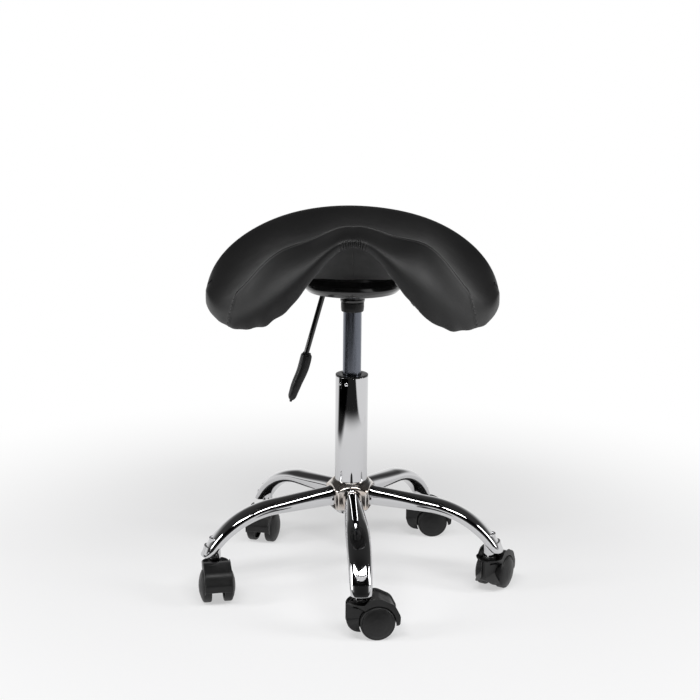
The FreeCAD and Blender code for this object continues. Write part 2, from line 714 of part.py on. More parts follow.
def make_mechanism():
    neck = ("0", "0", NECK_FOOT)
    turned_body("dust_ring", [
        ("tube_outer / 2 + fitted_gap", "-ring_height"),
        ("ring_outer / 2 - edge_break", "-ring_height"),
        ("ring_outer / 2", "-ring_height + edge_break"),
        ("ring_outer / 2", "0"),
        ("tube_outer / 2 + fitted_gap", "0"),
    ], spot=neck)

    fit = "fitted_gap"
    turned_body("taper_socket", [
        (f"tube_outer / 2 + {fit}", "0"),
        ("neck_outer / 2 - 1.2", "0"),
        ("neck_outer / 2", "1.2"),
        ("neck_outer / 2", "socket_height - socket_flange_height"),
        ("socket_flange / 2", "socket_height - socket_flange_height"),
        ("socket_flange / 2", "socket_height"),
        (f"tube_cone_top / 2 + {fit}", "socket_height"),
        (f"tube_cone_top / 2 + {fit}", "socket_height - 1"),
        (f"tube_outer / 2 + {fit}", "socket_height - 1 - tube_cone_length"),
    ], spot=neck)

    plate = new_body("seat_plate", neck, "lever_azimuth")
    disc = new_sketch(plate, "disc", "XY_Plane", {"z": PLATE_FOOT})
    draw_circle(disc, "plate_diameter")
    add_prism(plate, disc, "plate_thickness")
    walls = new_sketch(plate, "walls", "XY_Plane", {"z": "socket_height"})
    for sign in ("", "-"):
        near = f"{sign}(bracket_gap / 2)"
        far = f"{sign}(bracket_gap / 2 + bracket_wall)"
        inner_end, outer_end = "-bracket_inner", "bracket_outer"
        box = [(outer_end, near), (outer_end, far), (inner_end, far), (inner_end, near)]
        draw_named_outline(walls, box, "right" if sign else "left")
    add_prism(plate, walls, "bracket_height + fitted_gap")
    pivot = new_sketch(plate, "pivot", "XZ_Plane", {"z": "bracket_gap / 2 + bracket_wall + 1"})
    draw_circle(pivot, "lever_pin_diameter + 2 * fitted_gap", ("lever_pivot", LEVER_AXIS))
    add_prism(plate, pivot, "bracket_gap + 2 * bracket_wall + 2", cut=True)
    bolts = new_sketch(plate, "bolt_holes", "XY_Plane",
                       {"z": f"{PLATE_FOOT} + plate_thickness"})
    for index, spot in enumerate(bolt_spots()):
        draw_circle(bolts, "bolt_diameter + 2 * running_gap", spot, f"hole_{index}")
    add_prism(plate, bolts, "plate_thickness", cut=True)

    pin = new_body("lever_pin", neck, "lever_azimuth")
    bar = new_sketch(pin, "section", "XZ_Plane", {"z": "-(bracket_gap / 2 + bracket_wall + 1)"})
    draw_circle(bar, "lever_pin_diameter", ("lever_pivot", LEVER_AXIS))
    add_prism(pin, bar, "bracket_gap + 2 * bracket_wall + 2")

    dish = new_body("dish_cover", neck, "lever_azimuth")
    floor = "dish_floor_height"
    side = "(dish_diameter / 2)"
    roof = f"({PLATE_FOOT} + plate_thickness)"
    shoulder = f"({floor} + dish_side_height)"
    step_in = "dish_rim_step"
    wall = "dish_wall"
    add_revolution(dish, [
        ("neck_outer / 2 + soft_gap", floor),
        (f"{side} - dish_corner", floor),
        (side, f"{floor} + dish_corner",
         f"{side} - 0.2929 * dish_corner", f"{floor} + 0.2929 * dish_corner"),
        (side, shoulder),
        (f"{side} - {step_in}", f"{shoulder} + {step_in}",
         f"{side} - 0.2929 * {step_in}", f"{shoulder} + 0.7071 * {step_in}"),
        (f"{side} - {step_in}", roof),
        (f"{side} - {step_in} - {wall}", roof),
        (f"{side} - {step_in} - {wall}", f"{shoulder} + {wall}"),
        (f"{side} - {wall}", shoulder, f"{side} - 0.4 * {step_in} - {wall}", f"{shoulder} + 1.2"),
        (f"{side} - {wall}", f"{floor} + dish_corner"),
        (f"{side} - dish_corner", f"{floor} + {wall}",
         f"{side} - {wall} - 0.2929 * (dish_corner - {wall})",
         f"{floor} + {wall} + 0.2929 * (dish_corner - {wall})"),
        ("neck_outer / 2 + soft_gap", f"{floor} + {wall}"),
    ])
    slot = new_sketch(dish, "lever_slot", "XY_Plane", {"z": f"{floor} + {wall} + 1"})
    draw_outline(slot, [
        ("slot_inner", "-slot_width / 2"), ("slot_inner + slot_length", "-slot_width / 2"),
        ("slot_inner + slot_length", "slot_width / 2"), ("slot_inner", "slot_width / 2"),
    ])
    add_prism(dish, slot, f"{wall} + 2", cut=True)


def draw_named_outline(sketch, corners, name):
    """A second or later straight-sided outline in one sketch, with its own names."""
    points = [Vector(measure(x), measure(y), 0) for x, y in corners]
    lines = []
    for index, point in enumerate(points):
        lines.append(sketch.addGeometry(Part.LineSegment(points[index - 1], point), False))
    for index, corner in enumerate(corners):
        following = lines[(index + 1) % len(lines)]
        sketch.addConstraint(Sketcher.Constraint("Coincident", lines[index], 2, following, 1))
        bind_point(sketch, lines[index], 2, corner, f"{name}_{index}")


def bolt_spots():
    """The four bolts that join the plate to the shell."""
    radius = "plate_bolt_circle / 2"
    return [(f"{radius} * cos({angle})", f"{radius} * sin({angle})") for angle in
            (45, 135, 225, 315)]


def make_fasteners():
    spot = ("0", "0", SEAT_FOOT)
    bolts = new_body("plate_bolts", spot, "lever_azimuth")
    nuts = new_body("shell_tee_nuts", spot, "lever_azimuth")
    shank_foot = "-(plate_thickness + fitted_gap)"
    layers = (
        (bolts, "heads", "bolt_head", f"{shank_foot} - bolt_head_height", "bolt_head_height"),
        (bolts, "shanks", "bolt_diameter", shank_foot, "bolt_length"),
    )
    for body, name, diameter, foot, height in layers:
        sketch = new_sketch(body, name, "XY_Plane", {"z": foot})
        for index, place in enumerate(bolt_spots()):
            draw_circle(sketch, diameter, place, f"{name}_{index}")
        add_prism(body, sketch, height)
    barrel = new_sketch(nuts, "barrels", "XY_Plane", {"z": "fitted_gap"})
    flange = new_sketch(nuts, "flanges", "XY_Plane", {"z": "shell_thickness + fitted_gap"})
    bore = new_sketch(nuts, "bores", "XY_Plane", {"z": "shell_thickness + soft_gap * 4"})
    for index, place in enumerate(bolt_spots()):
        draw_circle(barrel, "nut_barrel", place, f"barrel_{index}")
        draw_circle(flange, "nut_flange", place, f"flange_{index}")
        draw_circle(bore, "bolt_diameter + 2 * fitted_gap", place, f"bore_{index}")
    add_prism(nuts, barrel, "shell_thickness")
    add_prism(nuts, flange, "nut_flange_height")
    add_prism(nuts, bore, "shell_thickness + soft_gap * 4", cut=True)


def make_lever():
    neck = ("0", "0", NECK_FOOT)
    body = new_body("lever_rod", neck, "lever_azimuth")
    path = new_sketch(body, "path", "XZ_Plane")
    lean = "lever_lean"
    half_turn = f"((90 - {lean}) / 2)"
    reach = f"(lever_bend_radius * tan({half_turn}))"
    bend = "lever_bend_place"
    first = Vector(measure("-lever_diameter"), measure(LEVER_AXIS), 0)
    tangent_1 = (f"{bend} - {reach}", LEVER_AXIS)
    tangent_2 = (f"{bend} + {reach} * sin({lean})", f"{LEVER_AXIS} - {reach} * cos({lean})")
    via = (f"{bend} - {reach} + lever_bend_radius * sin({half_turn})",
           f"{LEVER_AXIS} - lever_bend_radius + lever_bend_radius * cos({half_turn})")
    finish = LEVER_END
    points = [Vector(measure(x), measure(y), 0) for x, y in (tangent_1, via, tangent_2, finish)]
    inner = path.addGeometry(Part.LineSegment(first, points[0]), False)
    arc = path.addGeometry(Part.Arc(points[2], points[1], points[0]), False)
    outer = path.addGeometry(Part.LineSegment(points[2], points[3]), False)
    for one, place, other, at in ((inner, 2, arc, 2), (arc, 1, outer, 1)):
        path.addConstraint(Sketcher.Constraint("Coincident", one, place, other, at))
    bind_point(path, inner, 1, ("-lever_diameter", LEVER_AXIS), "inner_end")
    bind_point(path, inner, 2, tangent_1, "bend_start")
    bind_point(path, outer, 1, tangent_2, "bend_end")
    bind_point(path, outer, 2, finish, "outer_end")
    bend_radius = Sketcher.Constraint("Radius", arc, measure("lever_bend_radius"))
    path.renameConstraint(path.addConstraint(bend_radius), "bend_radius")
    path.setExpression("Constraints.bend_radius", linked("lever_bend_radius"))
    section = new_sketch(body, "section", "YZ_Plane", {"z": "-lever_diameter"})
    draw_circle(section, "lever_diameter", ("0", LEVER_AXIS))
    rod = body.newObject("PartDesign::AdditivePipe", "lever_rod_bent")
    rod.Profile = section
    rod.Spine = path
    boss = new_sketch(body, "boss", "XZ_Plane", {"z": "-(bracket_gap / 2 - soft_gap)"})
    draw_circle(boss, "lever_boss", ("lever_pivot", LEVER_AXIS))
    add_prism(body, boss, "bracket_gap - 2 * soft_gap")
    eye = new_sketch(body, "eye", "XZ_Plane", {"z": "bracket_gap / 2"})
    draw_circle(eye, "lever_pin_diameter + 2 * running_gap", ("lever_pivot", LEVER_AXIS))
    add_prism(body, eye, "bracket_gap", cut=True)

    grip = new_body("lever_grip", neck, "lever_azimuth")
    end_x, end_z = LEVER_END
    start_x = f"({end_x} - grip_overlap * sin({lean}))"
    start_z = f"({end_z} + grip_overlap * cos({lean}))"
    knee_x, knee_z = f"({start_x} + grip_knee_reach)", f"({start_z} - grip_knee_drop)"
    tip_x, tip_z = f"({start_x} + grip_tip_reach)", f"({start_z} - grip_tip_drop)"
    stations = [
        (start_x, start_z, "90 - lever_lean", "grip_top_width", "grip_top_width"),
        (f"({start_x} + 3)", f"({start_z} - 10)", "90 - lever_lean", "grip_width",
         "grip_thickness"),
        (knee_x, knee_z, "grip_knee_lean", "grip_width", "grip_thickness"),
        (f"(0.52 * {knee_x} + 0.48 * {tip_x})", f"(0.52 * {knee_z} + 0.48 * {tip_z})", "grip_bend_lean",
         "grip_width - 2", "grip_thickness - 1"),
        (f"(0.15 * {knee_x} + 0.85 * {tip_x})", f"(0.15 * {knee_z} + 0.85 * {tip_z})", "grip_tip_lean",
         "grip_tip_width", "grip_tip_width - 2"),
        (tip_x, tip_z, "grip_tip_lean", "grip_tip_width * 0.45", "grip_tip_width * 0.4"),
    ]
    sections = []
    for index, (x, z, slope, width, depth) in enumerate(stations):
        section = new_sketch(grip, f"section_{index}", "YZ_Plane", {"y": z, "z": x}, slope)
        draw_oval(section, width, depth)
        sections.append(section)
    add_loft(grip, sections, name="moulded")
    bore = new_sketch(grip, "bore", "YZ_Plane", {"y": end_z, "z": end_x}, "90 - lever_lean")
    draw_circle(bore, "lever_diameter + 2 * fitted_gap")
    add_prism(grip, bore, "grip_overlap + 2", cut=True)


LEVER_END = ("(lever_bend_place + lever_drop * tan(lever_lean))", f"({LEVER_AXIS} - lever_drop)")


# Seat: a row of cross sections from flap to flap, alike left and right
STATION_SHARES = (0, 0.17, 0.34, 0.5, 0.64, 0.77, 0.88, 0.955, 0.985)
FLAT_STATIONS = 3


class SaddleLine:
    """Formulas for one fore-and-aft section of the seat, at a share of its half width."""

    def __init__(self, share, index):
        side = f"(1 - {share}^rear_fullness)^(1 / rear_fullness)"
        nose = f"(1 - {share}^front_fullness)^(1 / front_fullness)"
        self.slim = f"sqrt(1 - {share}^2)"
        self.rear = f"(seat_widest + (seat_rear - seat_widest) * {side})"
        self.front = f"(seat_widest - (seat_widest + seat_front) * {nose})"
        bell = f"(1 / exp(({share} / nose_spread)^2))"
        self.front_low = (f"((nose_rise + flap_drop) * {bell} + flap_lift * {share}^10"
                          " - flap_drop)")
        thigh = f"(1 / exp((({share} - thigh_place) / thigh_spread)^2))"
        self.front_high = f"({self.front_low} + crest_rise + thigh_rise * {thigh})"
        self.rear_high = f"((cantle_rise + side_drop) * {self.slim} - side_drop)"
        self.rear_low = f"({self.rear_high} - rim_depth)"
        self.crest_y = f"({self.front} + crest_setback * {self.slim})"
        self.cantle_y = f"({self.rear} - rim_setback * {self.slim})"
        self.mid_y = f"(({self.front} + {self.rear}) / 2)"
        self.mid_z = (f"(({self.front_high} + {self.rear_high}) / 2"
                      f" - seat_dip * (1 - {share}^2))")
        self.share = share
        self.flat = 1 if index < FLAT_STATIONS else 0

    def bed(self, drop, margin):
        """Underside corners inside the lip, lowered by drop and drawn in by margin."""
        front_y = f"({self.front} + lip_width + {margin})"
        rear_y = f"({self.rear} - lip_width - {margin})"
        front_z = f"({self.front_low} + lip_depth - {drop})"
        rear_z = f"({self.rear_low} + lip_depth - {drop})"
        centre = f"(seat_widest * {self.share}^2)"
        half = f"(shell_flat / 2 * (1 - {self.share}^2.4)^0.417)"
        near_y, far_y = f"({centre} - {half})", f"({centre} + {half})"
        if self.flat:
            near_z = far_z = f"(shell_thickness + soft_gap - {drop})"
        else:
            slope = f"(({rear_z} - {front_z}) / ({rear_y} - {front_y}))"
            near_z = f"({front_z} + {slope} * ({near_y} - {front_y}))"
            far_z = f"({front_z} + {slope} * ({far_y} - {front_y}))"
        return [(front_y, front_z), (near_y, near_z), (far_y, far_z), (rear_y, rear_z)]

    def cushion(self):
        bed = self.bed("0", "0")
        front_mid = (f"({self.front} - 1.5)", f"(({self.front_low} * 0.42 + {self.front_high} * 0.58))")
        rear_mid = (f"({self.rear} + 1)", f"(({self.rear_low} * 0.5 + {self.rear_high} * 0.5))")
        lip_front = (f"({self.front} + lip_width)", f"({self.front_low} - 1)")
        lip_rear = (f"({self.rear} - lip_width)", f"({self.rear_low} - 1)")
        return [
            (f"({self.front} + 4)", self.front_low),
            (self.crest_y, self.front_high, *front_mid),
            (self.cantle_y, self.rear_high, self.mid_y, self.mid_z),
            (f"({self.rear} - 6)", self.rear_low, *rear_mid),
            lip_rear,
            bed[3], bed[2], bed[1], bed[0],
            lip_front,
        ]

    def layer(self, top, thickness, margin):
        upper = self.bed(top, margin)
        lower = self.bed(f"({top} + {thickness})", margin)
        return lower + upper[::-1]


def make_seat_layer(label, outline_of):
    """A loft through the stations from the right flap to the left one."""
    body = new_body(label, ("0", "0", SEAT_FOOT))
    places = [(-share, index) for index, share in enumerate(STATION_SHARES)][:0:-1]
    places += [(share, index) for index, share in enumerate(STATION_SHARES)]
    sections = []
    for count, (place, index) in enumerate(places):
        section = new_sketch(body, f"station_{count}", "YZ_Plane",
                             {"z": f"seat_width / 2 * {place}"})
        draw_outline(section, outline_of(SaddleLine(abs(place), index)))
        sections.append(section)
    add_loft(body, sections, ruled=True, name="moulded")
    return body


def make_seat():
    gap = "soft_gap"
    cushion = make_seat_layer("seat_cushion", lambda line: line.cushion())
    pockets = new_sketch(cushion, "nut_pockets", "XY_Plane",
                         {"z": "shell_thickness + nut_flange_height + 3 * soft_gap"})
    draw_bolt_circles(pockets, "nut_flange + 2")
    add_prism(cushion, pockets, "nut_flange_height + 3 * soft_gap + 1", cut=True)
    shell = make_seat_layer("seat_shell", lambda line: line.layer(gap, "shell_thickness", gap))
    holes = new_sketch(shell, "nut_holes", "XY_Plane", {"z": "shell_thickness + 2"})
    draw_bolt_circles(holes, "nut_barrel + 2 * fitted_gap")
    add_prism(shell, holes, "shell_thickness + 4", cut=True)
    below = f"(2 * {gap} + shell_thickness)"
    lining = make_seat_layer("underside_lining",
                             lambda line: line.layer(below, "lining_thickness", gap))
    opening = new_sketch(lining, "plate_opening", "XY_Plane", {"z": "shell_thickness"})
    draw_circle(opening, "lining_hole")
    add_prism(lining, opening, "3 * shell_thickness", cut=True)


def draw_bolt_circles(sketch, diameter):
    """Four circles over the plate's bolts, in the seat's own frame."""
    radius = "plate_bolt_circle / 2"
    for index, angle in enumerate((45, 135, 225, 315)):
        turn = f"(lever_azimuth + {angle})"
        spot = (f"{radius} * cos({turn})", f"{radius} * sin({turn})")
        draw_circle(sketch, diameter, spot, f"bolt_{index}")


make_hub()
for leg_number in range(1, LEG_COUNT + 1):
    make_leg(leg_number)
    make_stem(leg_number)
    make_hood(leg_number)
    make_axle(leg_number)
    make_wheel(leg_number, "left", 0)
    make_wheel(leg_number, "right", 180)
make_gas_lift()
make_mechanism()
make_fasteners()
make_lever()
make_seat()
doc.recompute()

# Checks before anything is written
CUTS = ("PartDesign::Pocket", "PartDesign::Groove", "PartDesign::SubtractiveLoft")
problems = []
for thing in doc.Objects:
    if "Invalid" in thing.State or "Error" in thing.State:
        problems.append(f"{thing.Label} failed: {thing.State}")
    elif thing.TypeId in CUTS:
        if thing.Shape.Volume > thing.BaseFeature.Shape.Volume - 0.01:
            problems.append(f"{thing.Label} cuts nothing")
bodies = [thing for thing in doc.Objects if thing.TypeId == "PartDesign::Body"]
for body in bodies:
    if body.Shape.isNull() or not body.Shape.isValid() or not body.Shape.Solids:
        problems.append(f"{body.Label} is not a sound solid")
if problems:
    raise RuntimeError("\n".join(problems))

os.makedirs("parts", exist_ok=True)
for body in bodies:
    body.Shape.exportStep(f"parts/{body.Label}.step")
    print(f"{body.Label}: {len(body.Shape.Solids)} solid, {body.Shape.Volume / 1000:.1f} cm3")
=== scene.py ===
"""Looks of the saddle stool: chromed five-leg base, twin-wheel casters, gas lift and vinyl saddle.

Metres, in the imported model's own frame: the origin is on the column's axis at the floor,
+Z is up and the saddle's nose points along -Y.
"""
import json
import math

import bmesh
import bpy
import numpy as np
from mathutils import Matrix, Vector


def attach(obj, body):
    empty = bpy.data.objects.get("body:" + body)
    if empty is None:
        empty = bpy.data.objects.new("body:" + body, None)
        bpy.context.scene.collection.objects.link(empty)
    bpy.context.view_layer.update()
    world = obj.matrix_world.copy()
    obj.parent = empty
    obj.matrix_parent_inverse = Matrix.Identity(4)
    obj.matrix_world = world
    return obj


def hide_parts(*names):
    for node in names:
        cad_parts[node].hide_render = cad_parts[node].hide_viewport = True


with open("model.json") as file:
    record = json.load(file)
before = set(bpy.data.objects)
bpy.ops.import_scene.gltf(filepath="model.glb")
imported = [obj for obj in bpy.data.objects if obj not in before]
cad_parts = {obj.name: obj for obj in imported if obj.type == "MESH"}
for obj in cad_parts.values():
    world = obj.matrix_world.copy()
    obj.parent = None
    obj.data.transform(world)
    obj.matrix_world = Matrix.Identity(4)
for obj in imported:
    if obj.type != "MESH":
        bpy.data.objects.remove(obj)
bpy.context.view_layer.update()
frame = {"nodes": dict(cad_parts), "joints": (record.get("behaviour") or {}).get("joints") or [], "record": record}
joints = {joint["name"]: joint for joint in frame["joints"]}
MM = 0.001
LEGS = range(1, 6)


# Curves and surfaces

def rounded_profile(corners, steps=6):
    """A polyline (r, z) with each corner (r, z, radius) replaced by an arc.

    The arc starts and ends where the two sides leave the corner by radius / tan(half angle), at most
    about half of either side, and its points lie on the quadratic curve drawn towards the corner.
    """
    points = np.array([c[:2] for c in corners], float)
    radii = [c[2] if len(c) > 2 else 0 for c in corners]
    out = [points[0]]
    for before, corner, after, radius in zip(points, points[1:], points[2:], radii[1:-1]):
        to_start, to_end = before - corner, after - corner
        reach_start, reach_end = np.linalg.norm(to_start), np.linalg.norm(to_end)
        to_start, to_end = to_start / reach_start, to_end / reach_end
        half = math.acos(np.clip(to_start @ to_end, -1, 1)) / 2
        if radius == 0 or half > math.pi / 2 - 0.01:
            out.append(corner)
            continue
        cut = min(radius / math.tan(half), 0.49 * reach_start, 0.49 * reach_end)
        share = np.linspace(0, 1, steps + 1)[:, None]
        start, end = corner + to_start * cut, corner + to_end * cut
        arc = start * (1 - share) ** 2 + corner * 2 * share * (1 - share) + end * share ** 2
        out.extend(arc)
    out.append(points[-1])
    return np.array(out)


def softened(values, spread, wrap=False):
    """Values blurred along their first axis by a bell curve of the given spread in samples."""
    reach = int(3 * spread) + 1
    bell = np.exp(-0.5 * (np.arange(-reach, reach + 1) / spread) ** 2)
    bell /= bell.sum()
    count = len(values)
    places = np.arange(-reach, count + reach)
    places = places % count if wrap else np.clip(places, 0, count - 1)
    stacked = values[places]
    return sum(weight * stacked[i:i + count] for i, weight in enumerate(bell))


def distance_along(line):
    """Distance of each point of a line from its first point, along the line."""
    step = np.linalg.norm(np.diff(line, axis=0), axis=1)
    return np.concatenate([[0], np.cumsum(step)])


def at_places(places, along, values):
    """Values interpolated at places along a line, column by column."""
    return np.stack([np.interp(places, along, column) for column in values.T], axis=-1)


def grid_faces(rows, columns, wrap_rows, wrap_columns):
    """Quads that join neighbouring points of a grid, and its last points to its first."""
    row = np.arange(rows if wrap_rows else rows - 1)[:, None]
    column = np.arange(columns if wrap_columns else columns - 1)[None, :]
    next_row, next_column = (row + 1) % rows, (column + 1) % columns
    corners = (row * columns + column, next_row * columns + column,
               next_row * columns + next_column, row * columns + next_column)
    return np.stack(np.broadcast_arrays(*corners), axis=-1).reshape(-1, 4)


def solid_mesh(name, points, faces, sharp_angle=40):
    """A mesh from points and faces with its doubles merged and its normals outward."""
    mesh = bpy.data.meshes.new(name)
    mesh.from_pydata(points.reshape(-1, 3).tolist(), [], faces.tolist())
    work = bmesh.new()
    work.from_mesh(mesh)
    bmesh.ops.remove_doubles(work, verts=work.verts, dist=2e-6)
    bmesh.ops.recalc_face_normals(work, faces=work.faces)
    work.to_mesh(mesh)
    work.free()
    mesh.shade_smooth()
    mesh.set_sharp_from_angle(angle=math.radians(sharp_angle))
    return mesh


def piece(name, mesh, body, material, nodes=()):
    """An object for the mesh that rides on a body and stands for the CAD nodes."""
    obj = bpy.data.objects.new(name, mesh)
    bpy.context.scene.collection.objects.link(obj)
    mesh.materials.append(material)
    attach(obj, body)
    if nodes:
        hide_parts(*nodes)
    return obj


def turned_points(profile, turns=96):
    """A profile (r, z) carried round the Z axis: x = r cos a, y = r sin a."""
    angle = np.linspace(0, 2 * math.pi, turns, endpoint=False)[None, :]
    radius, height = profile[:, 0][:, None], profile[:, 1][:, None]
    spread = np.ones_like(angle)
    return np.stack([radius * np.cos(angle), radius * np.sin(angle), height * spread], axis=-1)


def placed(points, matrix):
    """Points carried by a 4 x 4 matrix: p' = R p + t."""
    matrix = np.array(matrix)
    return points @ matrix[:3, :3].T + matrix[:3, 3]


def turned_mesh(name, corners, matrix=Matrix.Identity(4), ring=False, turns=96, sharp_angle=40):
    """A closed piece turned about Z in its own place; a ring's profile closes on itself."""
    profile = rounded_profile([(r * MM, z * MM, *(c * MM for c in rest))
                               for r, z, *rest in corners])
    if ring:
        profile = profile[:-1]
    points = placed(turned_points(profile, turns), matrix)
    faces = grid_faces(len(profile), turns, ring, True)
    return solid_mesh(name, points, faces, sharp_angle)


def turned_piece(name, corners, body, material, slot, nodes=(), matrix=Matrix.Identity(4), **shape):
    """A turned mesh and the object that carries it."""
    return piece(name, turned_mesh(name, corners, matrix, **shape), body, material, nodes)


def superellipse(count, power):
    """Points on |x|^p + |y|^p = 1, evenly spread in their own angle."""
    angle = np.linspace(0, 2 * math.pi, count, endpoint=False)
    cosine, sine = np.cos(angle), np.sin(angle)
    return (np.sign(cosine) * np.abs(cosine) ** (2 / power),
            np.sign(sine) * np.abs(sine) ** (2 / power))


def swept_points(path, side, up, widths, depths, power=2.0, count=64):
    """A superellipse carried along a path: p = path + side w x + up d y."""
    x, y = superellipse(count, power)
    across = side[:, None, :] * (widths[:, None] * x[None, :] / 2)[..., None]
    rise = up[:, None, :] * (depths[:, None] * y[None, :] / 2)[..., None]
    return path[:, None, :] + across + rise


def capped_ends(points):
    """A sweep with each end drawn to its own middle, so that it closes."""
    first, last = points[:1].mean(axis=1, keepdims=True), points[-1:].mean(axis=1, keepdims=True)
    return np.concatenate([np.broadcast_to(first, points[:1].shape), points,
                           np.broadcast_to(last, points[-1:].shape)])


def swept_mesh(name, points, matrix):
    """A mesh from the rings of a closed sweep, carried to its place."""
    return solid_mesh(name, placed(points, matrix), grid_faces(*points.shape[:2], False, True), 60)


# Shader groups and materials

def new_group(name, inputs, outputs):
    """An empty shader group with named sockets, and its in and out nodes."""
    tree = bpy.data.node_groups.new(name, "ShaderNodeTree")
    for label, kind, value in inputs:
        socket = tree.interface.new_socket(label, in_out="INPUT", socket_type=kind)
        if value is not None:
            socket.default_value = value
    for label, kind in outputs:
        tree.interface.new_socket(label, in_out="OUTPUT", socket_type=kind)
    return tree, tree.nodes.new("NodeGroupInput"), tree.nodes.new("NodeGroupOutput")


def add_node(tree, kind, settings=None, **links):
    """A node with plain settings and sockets set or linked by name."""
    made = tree.nodes.new(kind)
    for key, value in (settings or {}).items():
        setattr(made, key, value)
    for key, value in links.items():
        socket = made.inputs[key.replace("_", " ")]
        if isinstance(value, bpy.types.NodeSocket):
            tree.links.new(value, socket)
        else:
            socket.default_value = value
    return made


def make_grain_group():
    """Moulded or embossed grain: small cells softened by a finer noise, as a height."""
    tree, source, out = new_group(
        "moulded grain",
        [("Vector", "NodeSocketVector", None), ("Scale", "NodeSocketFloat", 900.0)],
        [("Height", "NodeSocketFloat")])
    cells = add_node(tree, "ShaderNodeTexVoronoi", {"feature": "SMOOTH_F1"},
                     Vector=source.outputs["Vector"], Scale=source.outputs["Scale"])
    fine = add_node(tree, "ShaderNodeTexNoise", None, Vector=source.outputs["Vector"],
                    Scale=source.outputs["Scale"], Detail=3.0)
    mixed = add_node(tree, "ShaderNodeMath", {"operation": "MULTIPLY_ADD"})
    tree.links.new(fine.outputs["Fac"], mixed.inputs[0])
    mixed.inputs[1].default_value = 0.5
    tree.links.new(cells.outputs["Distance"], mixed.inputs[2])
    tree.links.new(mixed.outputs[0], out.inputs["Height"])
    return tree


def make_marks_and_painted_light_group():
    """Handling marks, and the masks of painted reflection and painted sheen: broad noise between a low and a high
    value.
    """
    tree, source, out = new_group(
        "handling marks and painted light",
        [("Vector", "NodeSocketVector", None), ("Scale", "NodeSocketFloat", 30.0),
         ("Low", "NodeSocketFloat", 0.05), ("High", "NodeSocketFloat", 0.1)],
        [("Value", "NodeSocketFloat")])
    noise = add_node(tree, "ShaderNodeTexNoise", None, Vector=source.outputs["Vector"],
                     Scale=source.outputs["Scale"], Detail=5.0, Roughness=0.6)
    ranged = add_node(tree, "ShaderNodeMapRange", None, Value=noise.outputs["Fac"])
    ranged.inputs["From Min"].default_value = 0.35
    ranged.inputs["From Max"].default_value = 0.7
    tree.links.new(source.outputs["Low"], ranged.inputs["To Min"])
    tree.links.new(source.outputs["High"], ranged.inputs["To Max"])
    tree.links.new(ranged.outputs["Result"], out.inputs["Value"])
    return tree


GRAIN = make_grain_group()
MARKS_AND_PAINTED_LIGHT = make_marks_and_painted_light_group()


class Finish:
    """A Principled material with Object coordinates and the shared groups at hand."""

    def __init__(self, name, color, metallic=0.0, roughness=0.5, **sockets):
        self.material = bpy.data.materials.new(name)
        self.material.use_nodes = True
        self.tree = self.material.node_tree
        self.shader = self.tree.nodes["Principled BSDF"]
        self.shader.inputs["Base Color"].default_value = (*color, 1)
        self.shader.inputs["Metallic"].default_value = metallic
        self.shader.inputs["Roughness"].default_value = roughness
        for key, value in sockets.items():
            self.shader.inputs[key.replace("_", " ")].default_value = value
        self.place = self.tree.nodes.new("ShaderNodeTexCoord").outputs["Object"]

    def group(self, group, **inputs):
        made = add_node(self.tree, "ShaderNodeGroup", {"node_tree": group})
        self.tree.links.new(self.place, made.inputs["Vector"])
        for key, value in inputs.items():
            made.inputs[key].default_value = value
        return made.outputs[0]

    def vary_roughness(self, scale, low, high):
        value = self.group(MARKS_AND_PAINTED_LIGHT, Scale=scale, Low=low, High=high)
        self.tree.links.new(value, self.shader.inputs["Roughness"])

    def vary_color(self, scale, dark, light):
        """Base colour between two tones, by the marks group; the hub chrome uses it for a painted reflection and
        the thread for a painted sheen.
        """
        mask = self.group(MARKS_AND_PAINTED_LIGHT, Scale=scale, Low=0.0, High=1.0)
        mix = add_node(self.tree, "ShaderNodeMix", {"data_type": "RGBA"})
        self.tree.links.new(mask, mix.inputs["Factor"])
        for socket in mix.inputs:
            if socket.type == "RGBA" and socket.name in ("A", "B"):
                socket.default_value = (*(dark if socket.name == "A" else light), 1)
        color = next(s for s in mix.outputs if s.type == "RGBA")
        self.tree.links.new(color, self.shader.inputs["Base Color"])

    def bump(self, height, strength, distance):
        node = add_node(self.tree, "ShaderNodeBump", None, Height=height, Strength=strength,
                        Distance=distance)
        self.tree.links.new(node.outputs["Normal"], self.shader.inputs["Normal"])


def chrome_finish():
    """Mirror chrome with faint smears."""
    finish = Finish("polished chrome", (0.6, 0.6, 0.61), metallic=1.0)
    finish.vary_roughness(26, 0.03, 0.07)
    return finish.material


def hub_chrome_painted_reflection_finish():
    """Chrome at the hub with a painted reflection: tan patches in its colour stand for warm surroundings mirrored
    in its facets.
    """
    finish = Finish("hub chrome with painted reflection", (0.66, 0.62, 0.58), metallic=1.0)
    # painted reflection: the tan tone stands for warm light mirrored in the hub's facets
    finish.vary_color(45, (0.66, 0.65, 0.64), (0.64, 0.54, 0.46))
    finish.vary_roughness(60, 0.08, 0.22)
    return finish.material


def zinc_finish():
    """Bright zinc on small steel parts."""
    finish = Finish("bright zinc", (0.6, 0.6, 0.6), metallic=1.0)
    finish.vary_roughness(80, 0.25, 0.42)
    return finish.material


def ground_steel_finish():
    """Ground and oiled steel with marks that run along the tube."""
    finish = Finish("ground steel", (0.28, 0.3, 0.34), metallic=1.0)
    stretch = add_node(finish.tree, "ShaderNodeMapping", None, Vector=finish.place,
                       Scale=(1.0, 1.0, 0.04))
    finish.place = stretch.outputs["Vector"]
    finish.vary_color(110, (0.13, 0.14, 0.165), (0.22, 0.235, 0.275))
    finish.vary_roughness(220, 0.2, 0.38)
    return finish.material


def nylon_finish(name, tone, low, high, grain):
    """Moulded black nylon with a fine grain."""
    finish = Finish(name, (tone, tone, tone * 1.03), Specular_IOR_Level=0.36)
    finish.vary_color(35, (tone * 0.8,) * 3, (tone * 1.3, tone * 1.3, tone * 1.35))
    finish.vary_roughness(50, low, high)
    finish.bump(finish.group(GRAIN, Scale=1700.0), grain, 0.0002)
    return finish.material


